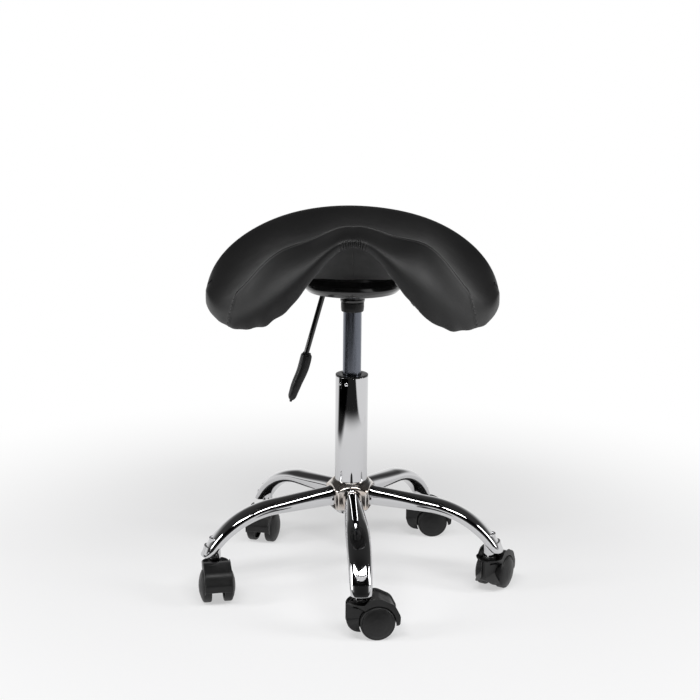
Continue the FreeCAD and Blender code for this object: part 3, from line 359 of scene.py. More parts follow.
def powder_coat_finish():
    """Gloss black coat on pressed steel, with a faint orange peel."""
    finish = Finish("black powder coat", (0.005, 0.005, 0.005), Coat_Weight=0.5,
                    Coat_Roughness=0.06)
    finish.vary_roughness(40, 0.16, 0.26)
    finish.bump(finish.group(GRAIN, Scale=420.0), 0.012, 0.0002)
    return finish.material


def vinyl_finish():
    """Soft black upholstery vinyl: fine embossed grain and a broad dull sheen."""
    finish = Finish("black vinyl", (0.008, 0.008, 0.0082), Specular_IOR_Level=0.34)
    finish.vary_color(14, (0.0066, 0.0066, 0.0068), (0.0096, 0.0096, 0.0098))
    finish.vary_roughness(18, 0.42, 0.52)
    finish.bump(finish.group(GRAIN, Scale=1150.0), 0.22, 0.0003)
    return finish.material


def lining_finish():
    """Thin non-woven lining cloth."""
    finish = Finish("lining cloth", (0.01, 0.01, 0.01), roughness=0.85, Sheen_Weight=0.08)
    finish.vary_color(60, (0.006, 0.006, 0.006), (0.016, 0.016, 0.016))
    finish.bump(finish.group(GRAIN, Scale=2300.0), 0.5, 0.0003)
    return finish.material


def thread_painted_sheen_finish():
    """Black bonded thread, painted grey: the grey stands for the sheen that the twisted stitches catch."""
    finish = Finish("bonded thread", (0.1, 0.1, 0.1), roughness=0.6)
    # painted sheen: grey tones stand for light caught by the stitches
    finish.vary_color(900, (0.06, 0.06, 0.06), (0.17, 0.17, 0.17))
    return finish.material


def plywood_finish():
    """Bare plywood with plies along its edge."""
    finish = Finish("bare plywood", (0.5, 0.36, 0.2), roughness=0.7)
    stretch = add_node(finish.tree, "ShaderNodeMapping", None, Vector=finish.place,
                       Scale=(8.0, 60.0, 700.0))
    finish.place = stretch.outputs["Vector"]
    finish.vary_color(1.0, (0.38, 0.25, 0.13), (0.62, 0.46, 0.28))
    return finish.material


CHROME = chrome_finish()
HUB_CHROME = hub_chrome_painted_reflection_finish()
ZINC = zinc_finish()
STEEL = ground_steel_finish()
NYLON = nylon_finish("satin black nylon", 0.007, 0.36, 0.5, 0.3)
WHEEL_NYLON = nylon_finish("hard wheel nylon", 0.0065, 0.4, 0.52, 0.15)
GLOSS_NYLON = nylon_finish("gloss black nylon", 0.006, 0.18, 0.3, 0.05)
COAT = powder_coat_finish()
VINYL = vinyl_finish()
LINING = lining_finish()
THREAD = thread_painted_sheen_finish()
PLYWOOD = plywood_finish()

CAD_FINISHES = {
    "polished_chrome": CHROME, "zinc_steel": ZINC, "ground_steel": STEEL, "black_nylon": NYLON,
    "wheel_nylon": WHEEL_NYLON, "black_powder_coat": COAT, "black_vinyl": VINYL,
    "birch_plywood": PLYWOOD, "lining_cloth": LINING,
}


def finish_cad_nodes():
    """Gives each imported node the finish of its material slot."""
    for entry in frame["record"]["subparts"]:
        mesh = frame["nodes"][entry["node"]].data
        mesh.materials.clear()
        mesh.materials.append(CAD_FINISHES[entry["material_slot"]])


# Base: legs, hub and sockets

LEG_FIRST, LEG_STEP = math.radians(-86), math.radians(72)
ROOT_HEIGHT, TIP_HEIGHT = 136 * MM, 66 * MM
LEG_SLOPE, LEG_BEND, BEND_RADIUS = math.radians(4), math.radians(58), 136 * MM
LEG_STRAIGHT = 92 * MM
HUB_FACE = 41 * MM * math.cos(math.pi / 5)


def leg_centreline(count=150):
    """Reach, height and slope along a leg: a straight run, then an arc of BEND_RADIUS."""
    arc = BEND_RADIUS * LEG_BEND
    run = LEG_STRAIGHT / math.cos(LEG_SLOPE)
    along = np.linspace(0, run + arc, count)
    on_arc = np.clip(along - run, 0, None) / BEND_RADIUS
    slope = LEG_SLOPE + on_arc
    straight = np.minimum(along, run)
    reach = HUB_FACE + straight * math.cos(LEG_SLOPE) + BEND_RADIUS * (
        np.sin(slope) - math.sin(LEG_SLOPE))
    height = ROOT_HEIGHT - straight * math.sin(LEG_SLOPE) - BEND_RADIUS * (
        math.cos(LEG_SLOPE) - np.cos(slope))
    return along, reach, height, slope


def leg_points():
    """The tube's skin in the leg's own plane, with a small weld flare and a turned-in tip."""
    along, reach, height, slope = leg_centreline()
    stations = np.array([0, 36, 60, 92, 125, 160, 192, 230]) * MM
    widths = np.array([26.5, 28.0, 31.5, 34.5, 36, 36, 33.5, 30.4]) * MM
    depths = np.array([30, 27.2, 25.2, 22.4, 20.6, 20.6, 18.5, 17]) * MM
    width = softened(np.interp(along, stations, widths), 7)
    depth = softened(np.interp(along, stations, depths), 7)
    flare = 1 + 0.07 * np.exp(-(along / (2.2 * MM)) ** 2)
    path = np.stack([reach, np.zeros_like(reach), height], axis=-1)
    side = np.tile([0.0, 1.0, 0.0], (len(along), 1))
    up = np.stack([np.sin(slope), np.zeros_like(slope), np.cos(slope)], axis=-1)
    skin = swept_points(path, side, up, width * flare, depth * flare, power=2.35, count=72)
    end = skin[-1]
    # The last ring drops or rises along the path's own direction to the tip's level cut
    ahead = np.array([math.cos(slope[-1]), 0, -math.sin(slope[-1])])
    level = end + ahead * ((end[:, 2] - TIP_HEIGHT) / math.sin(slope[-1]))[:, None]
    middle = level.mean(axis=0)
    rings = [level]
    lip = ((0.985, -0.4), (0.955, -0.7), (0.925, -0.4), (0.9, 0.6), (0.88, 4), (0.86, 14))
    for shrink, rise in lip:
        ring = middle + (level - middle) * shrink
        rings.append(ring + np.array([-0.3 * rise, 0, rise]) * MM)
    keep = skin[:, :, 2].min(axis=1) > TIP_HEIGHT + 2.5 * MM
    return capped_ends(np.concatenate([skin[keep], np.array(rings)]))


def make_legs():
    points = leg_points()
    for number in LEGS:
        turn = Matrix.Rotation(LEG_FIRST + LEG_STEP * (number - 1), 4, "Z")
        mesh = swept_mesh(f"leg_tube_{number}", points, turn)
        piece(f"leg_tube_{number}", mesh, "base", CHROME, [f"leg_{number}"])


def pentagon_radius(angle, corner, rounding):
    """Radius of a pentagon with rounded corners at an azimuth.

    The five faces are a soft minimum, so that each corner turns with about the given radius.
    """
    face = corner * math.cos(math.pi / 5)
    fold = (angle + math.pi / 5) % (2 * math.pi / 5) - math.pi / 5
    straight = face / np.cos(fold)
    blunt = corner - rounding * (1 / math.cos(math.pi / 5) - 1)
    near = np.clip((np.abs(fold) - math.radians(17)) / math.radians(19), 0, 1)
    ease = near * near * (3 - 2 * near)
    return straight + (np.minimum(straight, blunt) - straight) * ease


def azimuth_rings(angle, rows):
    """Rings of points from rows of radius and height over the azimuth."""
    return np.array([np.stack([r * np.cos(angle), r * np.sin(angle), z + 0 * angle], axis=-1)
                     for r, z in rows])


def make_hub():
    angle = np.linspace(0, 2 * math.pi, 360, endpoint=False)
    rim = pentagon_radius(angle - LEG_FIRST, 41 * MM, 8 * MM)
    bottom, top, collar_top = 119 * MM, 146 * MM, 160 * MM
    bore, edge = 28.85 * MM, 1.2 * MM
    ring = [(bore + 0 * rim, bottom), (rim - edge, bottom), (rim - 0.3 * edge, bottom + 0.3 * edge),
            (rim, bottom + edge), (rim, top - 0.02 * MM), (bore + 0 * rim, top - 0.02 * MM)]
    mesh = solid_mesh("hub_pentagon", azimuth_rings(angle, ring),
                      grid_faces(len(ring), 360, True, True))
    piece("hub_pentagon", mesh, "base", HUB_CHROME, ["hub_body"])

    # Collar: the pentagon's wall up to a cone, then along the cone to its top
    cone_top, cone_foot = 27.8 * MM, 42 * MM
    slope = (cone_foot - cone_top) / (collar_top - top)
    meet = top + (cone_foot - rim) / slope
    soft = 1.0 * MM
    rows = [(25.3 * MM + 0 * rim, top + 0 * rim), (rim, top + 0 * rim), (rim, meet - soft),
            (rim - 0.3 * soft, meet + 0.1 * soft), (rim - soft, meet + soft / slope)]
    for share in (0.35, 0.7, 1.0):
        radius = (rim - soft) * (1 - share) + (cone_top + 0.6 * MM) * share
        rows.append((radius, top + (cone_foot - radius) / slope))
    rows += [(cone_top - 0.6 * MM + 0 * rim, collar_top + 0 * rim),
             (25.3 * MM + 0 * rim, collar_top + 0 * rim)]
    mesh = solid_mesh("hub_cone_collar", azimuth_rings(angle, rows),
                      grid_faces(len(rows), 360, True, True))
    piece("hub_cone_collar", mesh, "base", HUB_CHROME, ["hub_collar"])


def make_column():
    stand = [(6.1, 108), (20, 108, 0.5), (23.2, 108, 3), (25, 160, 20), (25, 325, 0.3),
             (23.5, 325, 0.2), (23.5, 160, 20), (21.6, 111, 1), (6.1, 111), (6.1, 108)]
    turned_piece("stand_tube_skin", stand, "base", CHROME, "polished_chrome", ["stand_tube"],
                 ring=True, turns=128)
    bush = [(14.05, 235), (23.45, 235, 0.5), (23.45, 325.05), (25, 325.05, 0.3), (25, 327.5, 1.0),
            (16.2, 327.5, 0.8), (14.05, 326.2, 0.3), (14.05, 235)]
    turned_piece("bush_skin", bush, "base", GLOSS_NYLON, "black_nylon", ["guide_bush"],
                 ring=True, turns=128)
    tube = [(11.5, 215), (14, 215, 0.5), (14, 443, 10), (13.2, 465, 0.5), (4.05, 465, 0.3),
            (4.05, 453), (11.5, 453), (11.5, 215)]
    turned_piece("pressure_tube_skin", tube, "seat", STEEL, "ground_steel", ["pressure_tube"],
                 ring=True)
    ring = [(14.02, 425), (16.8, 425, 1.0), (17.5, 431, 2), (17.5, 438, 1), (16.9, 440, 0.3),
            (14.02, 440), (14.02, 425)]
    turned_piece("dust_ring_skin", ring, "seat", NYLON, "black_nylon", ["dust_ring"], ring=True)
    neck = [(14.02, 440), (18.4, 440, 0.6), (18.9, 443.5, 0.5), (17.9, 444.5, 0.4), (17.9, 446, 0.4),
            (19.75, 447.5, 0.8), (19.75, 462, 1.5), (34, 462, 0.8), (34, 466, 0.8), (13.3, 466),
            (13.2, 465), (14.02, 440)]
    turned_piece("neck_skin", neck, "seat", COAT, "black_powder_coat", ["taper_socket"], ring=True)
    dome = [(0, -0.6), (2.9, -0.6, 0.2), (2.8, 0.2, 0.4), (1.6, 1.1, 0.9), (0, 1.3)]
    for azimuth in (-110, -137):
        lean = math.radians(azimuth)
        spot = Matrix.Translation((24.9 * MM * math.cos(lean), 24.9 * MM * math.sin(lean), 0.3158))
        face = spot @ Matrix.Rotation(lean, 4, "Z") @ Matrix.Rotation(math.pi / 2, 4, "Y")
        turned_piece(f"tube_dimple_{abs(azimuth)}", dome, "base", CHROME, "polished_chrome",
                     matrix=face, turns=32)


# Casters

SWIVEL = [Vector(joints[f"caster_swivel_{n}"]["pos_m"]) for n in LEGS]


def caster_matrix(number):
    """Place of a caster: its stem's foot on the floor and its wheels' trail along +X."""
    axle = Vector(joints[f"wheel_roll_left_{number}"]["pos_m"])
    stem = SWIVEL[number - 1]
    heading = math.atan2(axle.y - stem.y, axle.x - stem.x)
    return Matrix.Translation((stem.x, stem.y, 0)) @ Matrix.Rotation(heading, 4, "Z")


def hood_outline(count=220):
    """Side outline (x, z) of the caster's hood, as a rounded polygon, evenly resampled."""
    corners = [(4, 17), (-18.5, 17, 14), (-18.5, 51, 1.6), (-5, 51, 3), (4, 50.6, 6), (12, 58.6, 6),
               (24, 59.8, 14), (44, 50, 16), (52, 34, 10), (51.4, 23.6, 1.2), (46, 23.6, 1.2),
               (26, 17, 3), (4, 17)]
    outline = rounded_profile(np.array([(c + (0,))[:3] for c in corners]) * MM, 8)
    along = distance_along(outline)
    return at_places(np.linspace(0, along[-1], count, endpoint=False), along, outline)


def hood_solid():
    """The hood before its wheel wells: the outline carried across, narrowed towards the front.

    At share k across, half width w(x) = 20.5 sqrt(1 - (x / 18.7)^2) in front of the stem, and
    the outline is drawn in near each side by a quarter round of the edge radius.
    """
    outline = hood_outline()
    centre = outline.mean(axis=0)
    normal = np.roll(outline, -1, axis=0) - np.roll(outline, 1, axis=0)
    normal = np.stack([-normal[:, 1], normal[:, 0]], axis=-1)
    normal /= np.linalg.norm(normal, axis=1)[:, None]
    edge, half = 2.6 * MM, 20.5 * MM
    turn = np.linspace(0, math.pi / 2, 6)
    rounded = half - edge + edge * np.sin(turn)
    inset = edge * (1 - np.cos(turn))
    between = np.linspace(-half + edge, half - edge, 9)[1:-1]
    across = np.concatenate([-rounded[::-1], between, rounded])
    inset = np.concatenate([inset[::-1], np.zeros(7), inset])
    front = np.clip(-outline[:, 0] / (18.7 * MM), 0, 1)
    narrow = np.sqrt(1 - front ** 2)
    rows = []
    for place, draw in zip(across, inset):
        flat = outline + normal * draw
        rows.append(np.stack([flat[:, 0], place * narrow, flat[:, 1]], axis=-1))
    points = np.array(rows)
    middle = np.array([centre[0], 0, centre[1]])
    first = points[:1] * 0 + middle + [0, -half, 0]
    last = points[:1] * 0 + middle + [0, half, 0]
    return np.concatenate([first, points, last])


def cut_away(target, tools):
    """Cuts the tools' volumes out of the target mesh and returns the result."""
    work = bpy.data.objects.new("cut_work", target)
    bpy.context.scene.collection.objects.link(work)
    helpers = []
    for index, tool in enumerate(tools):
        helper = bpy.data.objects.new(f"cut_tool_{index}", tool)
        bpy.context.scene.collection.objects.link(helper)
        cut = work.modifiers.new(f"cut {index}", "BOOLEAN")
        cut.operation, cut.solver, cut.object = "DIFFERENCE", "EXACT", helper
        helpers.append(helper)
    bpy.context.view_layer.update()
    graph = bpy.context.evaluated_depsgraph_get()
    result = bpy.data.meshes.new_from_object(work.evaluated_get(graph))
    for obj in [work] + helpers:
        bpy.data.objects.remove(obj)
    return result


def hood_mesh():
    block = hood_solid()
    solid = solid_mesh("hood_block", block, grid_faces(block.shape[0], block.shape[1], False, True))
    tools = []
    for side in (-1, 1):
        axle = Matrix.Translation((22 * MM, side * 9 * MM, 25 * MM)) @ Matrix.Rotation(
            -side * math.pi / 2, 4, "X")
        well = [(0, 0), (26.4, 0, 0.6), (26.4, 20), (0, 20)]
        tools.append(turned_mesh("well_tool", well, axle, turns=128))
    recess = [(0, 45), (14.5, 45), (14.5, 51.0, 0), (16.5, 64), (0, 64)]
    tools.append(turned_mesh("recess_tool", recess, turns=96))
    return cut_away(solid, tools)


def make_casters():
    hood = hood_mesh()
    count = len(hood.vertices)
    shape = np.empty(count * 3)
    hood.vertices.foreach_get("co", shape)
    boss = [(5.55, 24), (9, 24, 0.5), (9, 48, 0.3), (14.4, 48, 0.2), (14.4, 49.2, 0.4),
            (10.2, 49.2, 0.4), (10.2, 54, 0.6), (5.55, 54), (5.55, 24)]
    stem = [(0, 25.05), (5.5, 25.05, 0.5), (5.5, 54.1), (7.5, 54.1, 0.3), (7.5, 55.4, 0.3),
            (5.5, 55.4), (5.5, 84, 0.3), (4, 85.4, 0.3), (0, 85.4)]
    sleeve = [(5.52, 55.5), (8.5, 55.5, 0.5), (8.5, 92.4, 0.3), (5.52, 92.4), (5.52, 55.5)]
    for number in LEGS:
        matrix = caster_matrix(number)
        mesh = hood.copy()
        mesh.vertices.foreach_set("co", placed(shape.reshape(-1, 3), matrix).ravel())
        mesh.update()
        mesh.shade_smooth()
        mesh.set_sharp_from_angle(angle=math.radians(32))
        mesh.name = f"hood_shell_{number}"
        piece(f"hood_shell_{number}", mesh, f"caster_{number}", NYLON,
              [f"caster_hood_{number}"])
        turned_piece(f"stem_housing_{number}", boss, f"caster_{number}", NYLON, "black_nylon",
                     matrix=matrix, ring=True, turns=64)
        turned_piece(f"stem_pin_{number}", stem, "base", ZINC, "zinc_steel",
                     [f"caster_stem_{number}"], matrix, turns=48)
        turned_piece(f"socket_sleeve_{number}", sleeve, "base", CHROME, "polished_chrome",
                     [f"leg_socket_{number}"], matrix, ring=True, turns=64)
        for side, way in (("left", -1), ("right", 1)):
            make_wheel(number, side, way, matrix)


def make_wheel(number, side, way, matrix):
    """A twin caster's wheel: tread, softly domed face with a thin rim line, hollow inside."""
    axle = matrix @ Matrix.Translation((22 * MM, 0, 25 * MM)) @ Matrix.Rotation(
        way * math.pi / 2, 4, "X")
    profile = [(0, 20.5), (3.05, 20.5), (3.05, 9.5), (8, 9.5, 0.4), (8, 14, 0.5), (21.5, 14, 1),
               (21.5, 9.5, 0.4), (24.2, 9.5, 0.8), (25, 11, 1), (25, 19.6, 1.2), (24.2, 21.2, 0.5),
               (22.9, 22.2, 0.2), (22.6, 21.7, 0.2), (22.1, 22.5, 0.3), (18, 24.3, 6),
               (10, 26.6, 12), (3, 27.4, 3), (0, 27.4)]
    turned_piece(f"wheel_{side}_{number}_skin", profile, f"wheel_{side}_{number}", WHEEL_NYLON,
                 "wheel_nylon", [f"caster_wheel_{side}_{number}"], axle, sharp_angle=30)


# Seat mechanism and lever

LEVER_AZIMUTH = math.radians(200)
LEVER_HEIGHT = 475.6 * MM
LEVER_LEAN = math.radians(16.6)


def make_dish():
    """Pressed dish that hides the plate, with a slot for the lever."""
    shell = [(20.05, 456), (67, 456, 4), (75, 464, 8), (75, 473, 5), (70, 480, 3), (70, 486.7, 0.4),
             (68, 486.7, 0.4), (68, 480.6, 3), (73, 473, 4), (73, 464.6, 7), (66.4, 458, 3),
             (20.05, 458), (20.05, 456)]
    matrix = Matrix.Rotation(LEVER_AZIMUTH, 4, "Z")
    mesh = turned_mesh("dish_skin", shell, matrix, ring=True, turns=160)
    corner = np.array([(39, -6), (58, -6), (58, 6), (39, 6)]) * MM
    low, high = np.full((4, 1), 0.452), np.full((4, 1), 0.461)
    box = np.array([np.hstack([corner * 0 + corner.mean(axis=0), low]), np.hstack([corner, low]),
                    np.hstack([corner, high]), np.hstack([corner * 0 + corner.mean(axis=0), high])])
    tool = solid_mesh("slot_tool", placed(box, matrix), grid_faces(4, 4, False, True))
    cut = cut_away(mesh, [tool])
    cut.materials.clear()
    cut.shade_smooth()
    cut.set_sharp_from_angle(angle=math.radians(40))
    piece("dish_skin", cut, "seat", COAT, ["dish_cover"])


def lever_frame(path):
    """Directions of a path that lies in the lever's upright plane: side, and up."""
    ahead = np.gradient(path, axis=0)
    ahead /= np.linalg.norm(ahead, axis=1)[:, None]
    side = np.tile([0.0, 1.0, 0.0], (len(path), 1))
    return side, np.cross(ahead, side)


def make_lever():
    """A bent round rod and a moulded paddle grip, both in the lever's plane."""
    turn = Matrix.Rotation(LEVER_AZIMUTH, 4, "Z")
    bend = 40.2 * MM
    drop = np.array([math.sin(LEVER_LEAN), -math.cos(LEVER_LEAN)])
    corner = np.array([bend, LEVER_HEIGHT])
    end = corner + drop * 124.2 * MM
    line = rounded_profile([(-8 * MM, LEVER_HEIGHT), (*corner, 12 * MM), tuple(end)], 24)
    path = np.stack([line[:, 0], 0 * line[:, 0], line[:, 1]], axis=-1)
    side, up = lever_frame(path)
    width = np.full(len(path), 8 * MM)
    points = capped_ends(swept_points(path, side, up, width, width, count=32))
    mesh = swept_mesh("lever_rod_skin", points, turn)
    piece("lever_rod_skin", mesh, "lever", COAT, ["lever_rod"])
    boss = turn @ Matrix.Translation((24 * MM, 0, LEVER_HEIGHT)) @ Matrix.Rotation(
        math.pi / 2, 4, "X")
    eye = [(3.05, -13.7), (7, -13.7, 0.4), (7, 13.7, 0.4), (3.05, 13.7), (3.05, -13.7)]
    turned_piece("lever_boss_skin", eye, "lever", ZINC, "black_powder_coat", matrix=boss,
                 ring=True, turns=48)

    knots = np.array([(71.9, 365.5), (74.6, 354), (77.9, 342), (82.2, 331.5), (87.6, 321),
                      (92.6, 308), (98.2, 291.5)]) * MM
    shares = np.linspace(0, len(knots) - 1, 120)
    line = at_places(shares, range(len(knots)), knots)
    ends = line[[0, -1]]
    line = softened(line, 7)
    line[0], line[-1] = ends
    path = np.stack([line[:, 0], 0 * line[:, 0], line[:, 1]], axis=-1)
    side, up = lever_frame(path)
    along = np.linspace(0, 1, 120)
    stations = [0, 0.03, 0.07, 0.16, 0.3, 0.5, 0.75, 0.92, 0.98, 1]
    widths = [11, 14.2, 15.8, 16.6, 16.6, 15.6, 14.6, 12.6, 8, 2]
    depths = [11, 15.2, 16.4, 16.8, 16.6, 15.6, 14.4, 12, 7.4, 1.8]
    width, depth = np.interp(along, stations, widths) * MM, np.interp(along, stations, depths) * MM
    ridged = (np.abs(np.sin(along * 40 * math.pi)) < 0.25) * (along > 0.24) * (along < 0.46)
    ridges = 0.25 * MM * ridged
    width, depth = softened(width, 1.5) - ridges, softened(depth, 1.5) - ridges
    points = capped_ends(swept_points(path, side, up, width, depth, power=2.6, count=56))
    mesh = swept_mesh("lever_grip_skin", points, turn)
    piece("lever_grip_skin", mesh, "lever", NYLON, ["lever_grip"])


# Saddle

SEAT_HALF, SEAT_FOOT = 226 * MM, 486.7 * MM
WIDEST, SEAT_FRONT, SEAT_REAR = 45 * MM, -165 * MM, 190 * MM
RIGHT_FULLER = 13 * MM
SHELL_TOP, SHELL_THICKNESS = 0.3 * MM, 9 * MM


class SaddleForm:
    """The saddle's fore-and-aft sections, as arrays over the share t of the half width.

    Front and rear outlines are superellipses about the widest line. The front edge is a bell
    that rises to the nose, the front crest adds a second bell over each thigh, and the rear
    crest follows an ellipse from flap to flap. The right thigh's roll stands a little fuller.
    """

    def __init__(self, share):
        t = np.abs(share)
        bell = np.exp(-(t / 0.38) ** 2)
        thigh = np.exp(-((t - 0.5) / 0.28) ** 2)
        self.t = t
        self.slim = np.sqrt(np.clip(1 - t ** 2, 0, None))
        self.rear = WIDEST + (SEAT_REAR - WIDEST) * np.clip(1 - t ** 2.4, 0, None) ** (1 / 2.4)
        self.front = WIDEST + (SEAT_FRONT - WIDEST) * np.clip(1 - t ** 1.8, 0, None) ** (1 / 1.8)
        self.front_low = SEAT_FOOT + (136 * bell + 25 * t ** 10 - 79) * MM
        fuller = RIGHT_FULLER * np.clip(share / 0.15, 0, 1)
        self.front_high = self.front_low + ((24 * MM + (72 * MM + fuller) * thigh)
                                            * (0.45 + 0.55 * self.slim ** 0.5))
        self.rear_high = SEAT_FOOT + (125 * self.slim - 42) * MM
        self.rear_low = self.rear_high - (50 * self.slim ** 0.7 + 4) * MM
        self.crest_y = self.front + 40 * MM * self.slim
        self.cantle_y = self.rear - 22 * MM * self.slim

    def underside(self, lower=0.0, margin=0.0):
        """Front and rear corners of the flat under the seat, and their heights."""
        centre = WIDEST * self.t ** 2
        half = 70 * MM * np.clip(1 - self.t ** 2.4, 0, None) ** 0.417
        front_y, rear_y = self.front + 16 * MM + margin, self.rear - 16 * MM - margin
        front_z, rear_z = self.front_low + 12 * MM - lower, self.rear_low + 12 * MM - lower
        slope = (rear_z - front_z) / np.maximum(rear_y - front_y, 20 * MM)
        near, far = centre - half, centre + half
        flat = np.exp(-(self.t / 0.42) ** 8)
        level = SEAT_FOOT + 9.3 * MM - lower
        near_z = flat * level + (1 - flat) * (front_z + slope * (near - front_y))
        far_z = flat * level + (1 - flat) * (front_z + slope * (far - front_y))
        return (front_y, front_z), (near, near_z), (far, far_z), (rear_y, rear_z)


def arc_through(start, via, end, count):
    """Points from start to end on the parabola that passes through via at its middle."""
    share = np.linspace(0, 1, count, endpoint=False)
    bow = [2 * v - (s + e) / 2 for s, v, e in zip(start, via, end)]
    return [s[:, None] * (1 - share) ** 2 + 2 * b[:, None] * share * (1 - share)
            + e[:, None] * share ** 2 for s, b, e in zip(start, bow, end)]


def run_to(start, end, count):
    """Points on the straight line from start towards end."""
    share = np.linspace(0, 1, count, endpoint=False)
    return [s[:, None] * (1 - share) + e[:, None] * share for s, e in zip(start, end)]


FRONT_COUNT, TOP_COUNT, REAR_COUNT = 56, 84, 32
GATHER_REACH = 26 * MM
SEAM_REACH = 0.812


def places_across(rows, reach=1.0):
    """Shares across the seat: t = sin(a), closer near the flaps' edges, and finest at the nose."""
    coarse = np.sin(np.linspace(-math.pi / 2, math.pi / 2, rows))
    fine = np.arange(-GATHER_REACH, GATHER_REACH, 0.4 * MM) / SEAT_HALF
    outside = (np.abs(coarse) > GATHER_REACH / SEAT_HALF) & (np.abs(coarse) <= reach)
    return np.sort(np.concatenate([coarse[outside], fine]))


def saddle_sections():
    """The cushion's skin on a grid of places across and points round each section."""
    share = places_across(270)
    form = SaddleForm(share)
    thick = form.slim
    low_front = (form.front + 4 * MM * thick, form.front_low)
    belly = (form.front - 3.5 * MM * thick, form.front_low * 0.46 + form.front_high * 0.54)
    crest = (form.crest_y, form.front_high)
    middle = ((form.front + form.rear) / 2,
              (form.front_high + form.rear_high) / 2 - 26 * MM * form.slim ** 2)
    cantle = (form.cantle_y, form.rear_high)
    rump = (form.rear + 1 * MM * thick, (form.rear_low + form.rear_high) / 2 - 2 * MM)
    low_rear = (form.rear - 6 * MM * thick, form.rear_low)
    lip_rear = (form.rear - 15 * MM * thick, form.rear_low - 0.5 * MM)
    lip_front = (form.front + 15 * MM * thick, form.front_low - 0.5 * MM)
    bed_front, near, far, bed_rear = form.underside()
    centre = (form.front + form.rear) / 2
    bed = [(np.where(form.t > 0.97, centre, y), z) for y, z in (bed_rear, far, near, bed_front)]
    parts = [
        arc_through(low_front, belly, crest, FRONT_COUNT),
        arc_through(crest, middle, cantle, TOP_COUNT),
        arc_through(cantle, rump, low_rear, REAR_COUNT),
        run_to(low_rear, lip_rear, 6), run_to(lip_rear, bed[0], 6),
        run_to(bed[0], bed[1], 10), run_to(bed[1], bed[2], 12), run_to(bed[2], bed[3], 10),
        run_to(bed[3], lip_front, 6), run_to(lip_front, low_front, 6),
    ]
    y = np.concatenate([p[0] for p in parts], axis=1)
    z = np.concatenate([p[1] for p in parts], axis=1)
    across = np.broadcast_to((share * SEAT_HALF)[:, None], y.shape)
    return share, np.stack([across, y, z], axis=-1)


def seam_height(share):
    """Column of the sewn line: the crest, then down the flap's front between t 0.75 and 0.81."""
    fall = np.clip((np.abs(share) - 0.745) / 0.062, 0, 1)
    return FRONT_COUNT * (1 - fall ** 1.6)


def saddle_points():
    """The finished skin: sections softened along their length, then creased and puckered."""
    share, points = saddle_sections()
    columns = points.shape[1]
    soft = np.moveaxis(softened(np.moveaxis(points, 1, 0), 3.2, wrap=True), 0, 1)
    soft[:, :, 0] = points[:, :, 0]
    along_u, along_v = np.gradient(soft, axis=0), np.gradient(soft, axis=1)
    normal = np.cross(along_v, along_u)
    length = np.linalg.norm(normal, axis=-1, keepdims=True)
    normal = normal / np.maximum(length, 1e-12)
    middle = soft.mean(axis=1, keepdims=True)
    outward = np.sign(np.sum(normal[:, TOP_COUNT] * (soft - middle)[:, TOP_COUNT], axis=-1).sum())
    normal = normal * outward

    t = share[:, None]
    x = soft[:, :, 0]
    column = np.arange(columns)[None, :]
    step = np.linalg.norm(along_v, axis=-1)
    from_seam = (column - seam_height(share)[:, None]) * step
    sewn = np.abs(t) < SEAM_REACH
    seam = -1.0 * MM * np.exp(-(from_seam / (1.4 * MM)) ** 2) * sewn
    plump = 0.6 * MM * np.exp(-((np.abs(from_seam) - 6 * MM) / (4.5 * MM)) ** 2) * sewn

    # Gathers at the nose: sharp folds that fan out, deepest at the edge and gone above the roll
    above = np.where(column > columns / 2, column - columns, column)
    up_face = np.clip(above / FRONT_COUNT, 0, 1)
    fold_place = x / (2.9 * MM) * (1 - 0.25 * up_face) + 0.3 * np.sin(x / (5.3 * MM))
    folds = np.abs(np.cos(math.pi * fold_place)) ** 0.6
    reach = np.exp(-(x / (20 * MM)) ** 6)
    height = np.clip(1 - up_face / (0.6 + 0.08 * np.sin(x / (4.1 * MM))), 0, 1) ** 0.7
    on_face = (above < FRONT_COUNT) * np.clip(1 + above / 12, 0, 1)
    gathers = 2.8 * MM * (folds - 0.7) * reach * height * on_face

    # Slack along the lower front edge, where the cover is pulled over and stapled
    edge_place = np.exp(-(above / 8.0) ** 2)
    pulls = np.sin(x / (7.3 * MM) + 1.3 * np.sin(x / (19 * MM))) + 0.6 * np.sin(x / (3.9 * MM) + 2)
    slack = 1.0 * MM * pulls * edge_place * np.clip((np.abs(t) - 0.12) / 0.3, 0, 1)
    slack = slack * np.clip((0.96 - np.abs(t)) / 0.1, 0, 1)

    # Long shallow hollows over the thighs, unlike on the two sides
    broad = 0.8 * MM * np.sin(x / (47 * MM) + 0.6) * np.sin(soft[:, :, 1] / (61 * MM) + 1.1)
    shift = seam + plump + gathers + slack + broad * np.clip((0.97 - np.abs(t)) / 0.35, 0, 1)
    return share, soft + normal * shift[..., None], normal


def make_saddle():
    share, points, normal = saddle_points()
    rows, columns = points.shape[:2]
    mesh = solid_mesh("saddle_cover", points, grid_faces(rows, columns, False, True), 75)
    cover = piece("saddle_cover", mesh, "seat", VINYL, ["seat_cushion"])
    make_stitches(share, points, normal)


def capsule(length, radius, around=6):
    """A short thread: rings of a stretched ball along X."""
    along = np.linspace(-1, 1, 7)
    size = np.sqrt(np.clip(1 - along ** 4, 0, 1))
    angle = np.linspace(0, 2 * math.pi, around, endpoint=False)
    x = np.broadcast_to((along * length / 2)[:, None], (7, around))
    y = radius * size[:, None] * np.cos(angle)
    z = radius * size[:, None] * np.sin(angle)
    return np.stack([x, y, z], axis=-1)


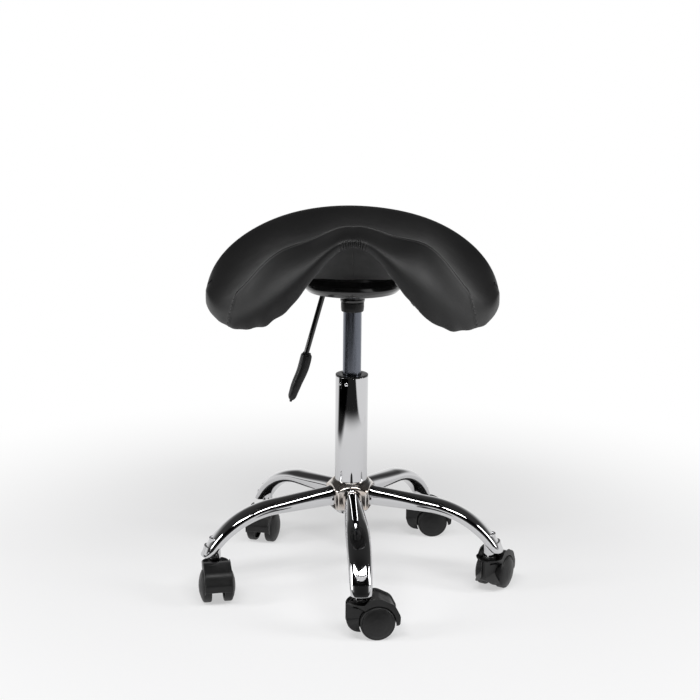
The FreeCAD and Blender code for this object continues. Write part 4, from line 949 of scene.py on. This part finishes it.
def scatter(name, shape, spots, ahead, up, body, material):
    """Copies of one small shape at many spots, each turned to its own directions."""
    ahead = ahead / np.linalg.norm(ahead, axis=1)[:, None]
    up = up - ahead * np.sum(up * ahead, axis=1)[:, None]
    up = up / np.linalg.norm(up, axis=1)[:, None]
    side = np.cross(up, ahead)
    axes = np.stack([ahead, side, up], axis=1)
    flat = shape.reshape(-1, 3)
    points = spots[:, None, :] + np.einsum("pk,nkc->npc", flat, axes)
    faces = grid_faces(shape.shape[0], shape.shape[1], False, True)
    every = (faces[None] + (np.arange(len(spots)) * len(flat))[:, None, None]).reshape(-1, 4)
    mesh = solid_mesh(name, points, every, 80)
    return piece(name, mesh, body, material)


def make_stitches(share, points, normal):
    """Stitches 4.6 mm apart along the sewn line, on both sides of the saddle."""
    inside = np.abs(share) < 0.806
    rows = np.flatnonzero(inside)
    column = seam_height(share)[rows] + 1.6
    low = np.floor(column).astype(int)
    part = (column - low)[:, None]
    line = points[rows, low] * (1 - part) + points[rows, low + 1] * part
    up = normal[rows, low]
    along = distance_along(line)
    places = np.arange(2 * MM, along[-1], 4.6 * MM)
    spots = at_places(places, along, line)
    raised = at_places(places, along, up)
    ahead = at_places(places + MM, along, line) - spots
    ahead[-1] = ahead[-2]
    shape = capped_ends(capsule(3.1 * MM, 0.5 * MM))
    scatter("seam_stitches", shape, spots + raised * 0.4 * MM, ahead, raised, "seat", THREAD)


def make_shell():
    """The moulded shell between cushion and lining, a closed layer of one thickness."""
    share = places_across(150, 0.985)
    form = SaddleForm(share)
    upper = form.underside(SHELL_TOP, SHELL_TOP)
    ring = form.underside(SHELL_TOP + SHELL_THICKNESS, SHELL_TOP) + upper[::-1]
    counts = (20, 16, 16, 2, 16, 16, 20, 2)
    runs = [run_to(start, end, count)
            for start, end, count in zip(ring, ring[1:] + ring[:1], counts)]
    y = np.concatenate([run[0] for run in runs], axis=1)
    z = np.concatenate([run[1] for run in runs], axis=1)
    across = np.broadcast_to((share * SEAT_HALF)[:, None], y.shape)
    points = capped_ends(np.stack([across, y, z], axis=-1))
    mesh = solid_mesh("shell_ply", points, grid_faces(*points.shape[:2], False, True))
    piece("shell_ply", mesh, "seat", PLYWOOD, ["seat_shell"])


def make_lining():
    """Lining under the shell: a thin sheet with a centre seam, soft pulls and the plate's hole."""
    share = places_across(150, 0.985)
    form = SaddleForm(share)
    corners = form.underside(SHELL_TOP + SHELL_THICKNESS + 1.4 * MM)
    runs = [run_to(start, end, count)
            for start, end, count in zip(corners, corners[1:], (34, 30, 26))]
    y = np.concatenate([run[0] for run in runs] + [corners[3][0][:, None]], axis=1)
    z = np.concatenate([run[1] for run in runs] + [corners[3][1][:, None]], axis=1)
    x = np.broadcast_to((share * SEAT_HALF)[:, None], y.shape)
    seam = 0.9 * MM * np.exp(-(x / (0.9 * MM)) ** 2)
    pulls = 0.5 * MM * np.sin(x / (9 * MM) + 2 * np.sin(y / (23 * MM))) * np.sin(y / (17 * MM))
    sheet = np.stack([x, y, z - seam + pulls], axis=-1)
    bare = (np.hypot(x, y) < 69 * MM).ravel()
    faces = grid_faces(*y.shape, False, False)
    mesh = bpy.data.meshes.new("lining_sheet")
    mesh.from_pydata(sheet.reshape(-1, 3).tolist(), [], faces[~bare[faces].all(axis=1)].tolist())
    work = bmesh.new()
    work.from_mesh(mesh)
    bmesh.ops.delete(work, geom=[v for v in work.verts if not v.link_faces], context="VERTS")
    bmesh.ops.recalc_face_normals(work, faces=work.faces)
    area = sum(face.calc_area() for face in work.faces)
    work.to_mesh(mesh)
    work.free()
    mesh.shade_smooth()
    lining = piece("lining_sheet", mesh, "seat", LINING, ["underside_lining"])
    wall = lining.modifiers.new("wall", "SOLIDIFY")
    wall.thickness = 0.8 * MM
    wall.offset = 0
    make_staples(form, share, *corners[0], *corners[3])


def make_staples(form, share, front_y, front_z, rear_y, rear_z):
    """Staples that hold the hem, along the front and rear edges of the lining."""
    lines = []
    for y, z, inward in ((front_y, front_z, 5 * MM), (rear_y, rear_z, -5 * MM)):
        line = np.stack([share * SEAT_HALF, y + inward, z - 1.4 * MM], axis=-1)
        along = distance_along(line)
        places = np.arange(25 * MM, along[-1] - 25 * MM, 19 * MM)
        spots = at_places(places, along, line)
        lines.append((spots, at_places(places + MM, along, line) - spots))
    spots = np.concatenate([line[0] for line in lines])
    ahead = np.concatenate([line[1] for line in lines])
    up = np.tile([0.0, 0.0, -1.0], (len(spots), 1))
    shape = capped_ends(capsule(9 * MM, 0.5 * MM))
    scatter("lining_staples", shape, spots, ahead, up, "seat", ZINC)


# Camera, light and floor

def make_camera():
    """The photograph's camera: 1.917 m in front, 0.802 m up, looking 12.9 degrees down."""
    camera = bpy.data.cameras.new("camera")
    camera.sensor_width = 36
    camera.lens = 1292.8 / 700 * 36
    camera.shift_x = -2.1 / 700
    obj = bpy.data.objects.new("camera", camera)
    bpy.context.scene.collection.objects.link(obj)
    tilt = Matrix.Rotation(math.pi / 2 - 0.2245, 4, "X") @ Matrix.Rotation(0.0095, 4, "Z")
    obj.matrix_world = Matrix.Translation((0, -1.9166, 0.8021)) @ tilt
    bpy.context.scene.camera = obj


def make_world():
    """White to the camera; to light and metal, a pale backdrop low behind and beside the stool.

    Overhead and towards the camera it is dark, as in a studio with a white paper sweep.
    """
    world = bpy.data.worlds.new("studio")
    bpy.context.scene.world = world
    world.use_nodes = True
    tree = world.node_tree
    tree.nodes.clear()
    out = tree.nodes.new("ShaderNodeOutputWorld")
    place = tree.nodes.new("ShaderNodeTexCoord")
    split = add_node(tree, "ShaderNodeSeparateXYZ", None, Vector=place.outputs["Generated"])
    ramp = tree.nodes.new("ShaderNodeValToRGB")
    tree.links.new(split.outputs["Z"], ramp.inputs["Fac"])
    stops = ((0.0, 0.95), (0.14, 0.9), (0.3, 0.25), (0.45, 0.06), (1.0, 0.03))
    ramp.color_ramp.elements[0].position = stops[0][0]
    ramp.color_ramp.elements[0].color = (*(stops[0][1],) * 3, 1)
    ramp.color_ramp.elements[1].position = stops[-1][0]
    ramp.color_ramp.elements[1].color = (*(stops[-1][1],) * 3, 1)
    for position, value in stops[1:-1]:
        element = ramp.color_ramp.elements.new(position)
        element.color = (value, value, value, 1)
    behind = smooth_step(tree, split.outputs["Y"], -0.6, 0.05, 0.04, 1.0)
    lit = add_node(tree, "ShaderNodeBackground", None, Color=ramp.outputs["Color"],
                   Strength=behind)
    seen = add_node(tree, "ShaderNodeBackground", None, Color=(1, 1, 1, 1), Strength=1.0)
    path = tree.nodes.new("ShaderNodeLightPath")
    mix = tree.nodes.new("ShaderNodeMixShader")
    tree.links.new(path.outputs["Is Camera Ray"], mix.inputs[0])
    tree.links.new(lit.outputs[0], mix.inputs[1])
    tree.links.new(seen.outputs[0], mix.inputs[2])
    tree.links.new(mix.outputs[0], out.inputs["Surface"])


def smooth_step(tree, value, start, end, low, high):
    """A value eased from low to high while its input goes from start to end."""
    node = add_node(tree, "ShaderNodeMapRange", {"interpolation_type": "SMOOTHSTEP"}, Value=value)
    for label, number in (("From Min", start), ("From Max", end), ("To Min", low), ("To Max", high)):
        node.inputs[label].default_value = number
    return node.outputs["Result"]


def arithmetic(tree, operation, first, second):
    """One sum of two values or sockets."""
    node = add_node(tree, "ShaderNodeMath", {"operation": operation})
    for socket, value in zip(node.inputs, (first, second)):
        if isinstance(value, bpy.types.NodeSocket):
            tree.links.new(value, socket)
        else:
            socket.default_value = value
    return node.outputs[0]


def make_floor():
    """Pale paper that keeps the stool's shadow and is white to the camera and to metal.

    Metal sees the paper end about 1.2 m from the column, in front and on the left.
    """
    size = 3.0
    corners = np.array([(-size, -size, 0), (size, -size, 0), (size, size, 0), (-size, size, 0)])
    mesh = bpy.data.meshes.new("floor")
    mesh.from_pydata(corners.tolist(), [], [(0, 1, 2, 3)])
    floor = bpy.data.objects.new("floor", mesh)
    bpy.context.scene.collection.objects.link(floor)
    material = bpy.data.materials.new("pale floor")
    material.use_nodes = True
    tree = material.node_tree
    tree.nodes.clear()
    out = tree.nodes.new("ShaderNodeOutputMaterial")
    place = tree.nodes.new("ShaderNodeTexCoord").outputs["Object"]
    split = add_node(tree, "ShaderNodeSeparateXYZ", None, Vector=place)
    away = add_node(tree, "ShaderNodeVectorMath", {"operation": "LENGTH"}, Vector=place)
    path = tree.nodes.new("ShaderNodeLightPath")

    paper = smooth_step(tree, away.outputs["Value"], 0.98, 1.3, 1.0, 0.02)
    left = smooth_step(tree, split.outputs["X"], -0.95, -0.72, 0.03, 1.0)
    right = smooth_step(tree, split.outputs["X"], 0.85, 1.05, 0.0, 1.0)
    behind = smooth_step(tree, split.outputs["Y"], 0.1, 0.5, 0.0, 1.0)
    strength = arithmetic(tree, "MULTIPLY", paper, left)
    for wider in (right, behind, path.outputs["Is Camera Ray"]):
        strength = arithmetic(tree, "MAXIMUM", strength, wider)
    near = smooth_step(tree, away.outputs["Value"], 0.35, 1.1, 0.5, 0.0)
    glow_share = arithmetic(tree, "SUBTRACT", 1.0, arithmetic(tree, "MULTIPLY", near, strength))
    seen = arithmetic(tree, "MAXIMUM", path.outputs["Is Camera Ray"], path.outputs["Is Glossy Ray"])
    seen = arithmetic(tree, "MAXIMUM", seen, path.outputs["Is Transmission Ray"])
    share = arithmetic(tree, "MULTIPLY", seen, glow_share)

    diffuse = add_node(tree, "ShaderNodeBsdfDiffuse", None, Color=(0.93, 0.93, 0.94, 1))
    glow = add_node(tree, "ShaderNodeEmission", None, Color=(1, 1, 1, 1), Strength=strength)
    mix = tree.nodes.new("ShaderNodeMixShader")
    tree.links.new(share, mix.inputs[0])
    tree.links.new(diffuse.outputs[0], mix.inputs[1])
    tree.links.new(glow.outputs[0], mix.inputs[2])
    tree.links.new(mix.outputs[0], out.inputs["Surface"])
    mesh.materials.append(material)


def make_lamp(name, spot, aim, size, power):
    """A soft rectangular lamp at a spot, facing the aim."""
    lamp = bpy.data.lights.new(name, "AREA")
    lamp.shape, lamp.size, lamp.size_y, lamp.energy = "RECTANGLE", size[0], size[1], power
    obj = bpy.data.objects.new(name, lamp)
    bpy.context.scene.collection.objects.link(obj)
    facing = (Vector(aim) - Vector(spot)).to_track_quat("-Z", "Y")
    obj.matrix_world = Matrix.Translation(spot) @ facing.to_matrix().to_4x4()


def make_lamps():
    """Two long panels high in front, and a tall softbox on either side."""
    aim = (0, 0, 0.3)
    make_lamp("left window", (-0.64, -1.25, 2.15), aim, (1.16, 0.42), 19)
    make_lamp("right window", (0.64, -1.25, 2.15), aim, (1.16, 0.42), 19)
    make_lamp("left softbox", (-2.2, -0.7, 1.1), aim, (0.6, 1.4), 20)
    make_lamp("right softbox", (2.2, -0.6, 1.2), aim, (0.6, 1.4), 20)


bpy.context.scene.view_settings.view_transform = "Standard"
make_camera()
make_world()
make_floor()
make_lamps()
finish_cad_nodes()
make_legs()
make_hub()
make_column()
make_casters()
make_dish()
make_lever()
make_saddle()
make_shell()
make_lining()
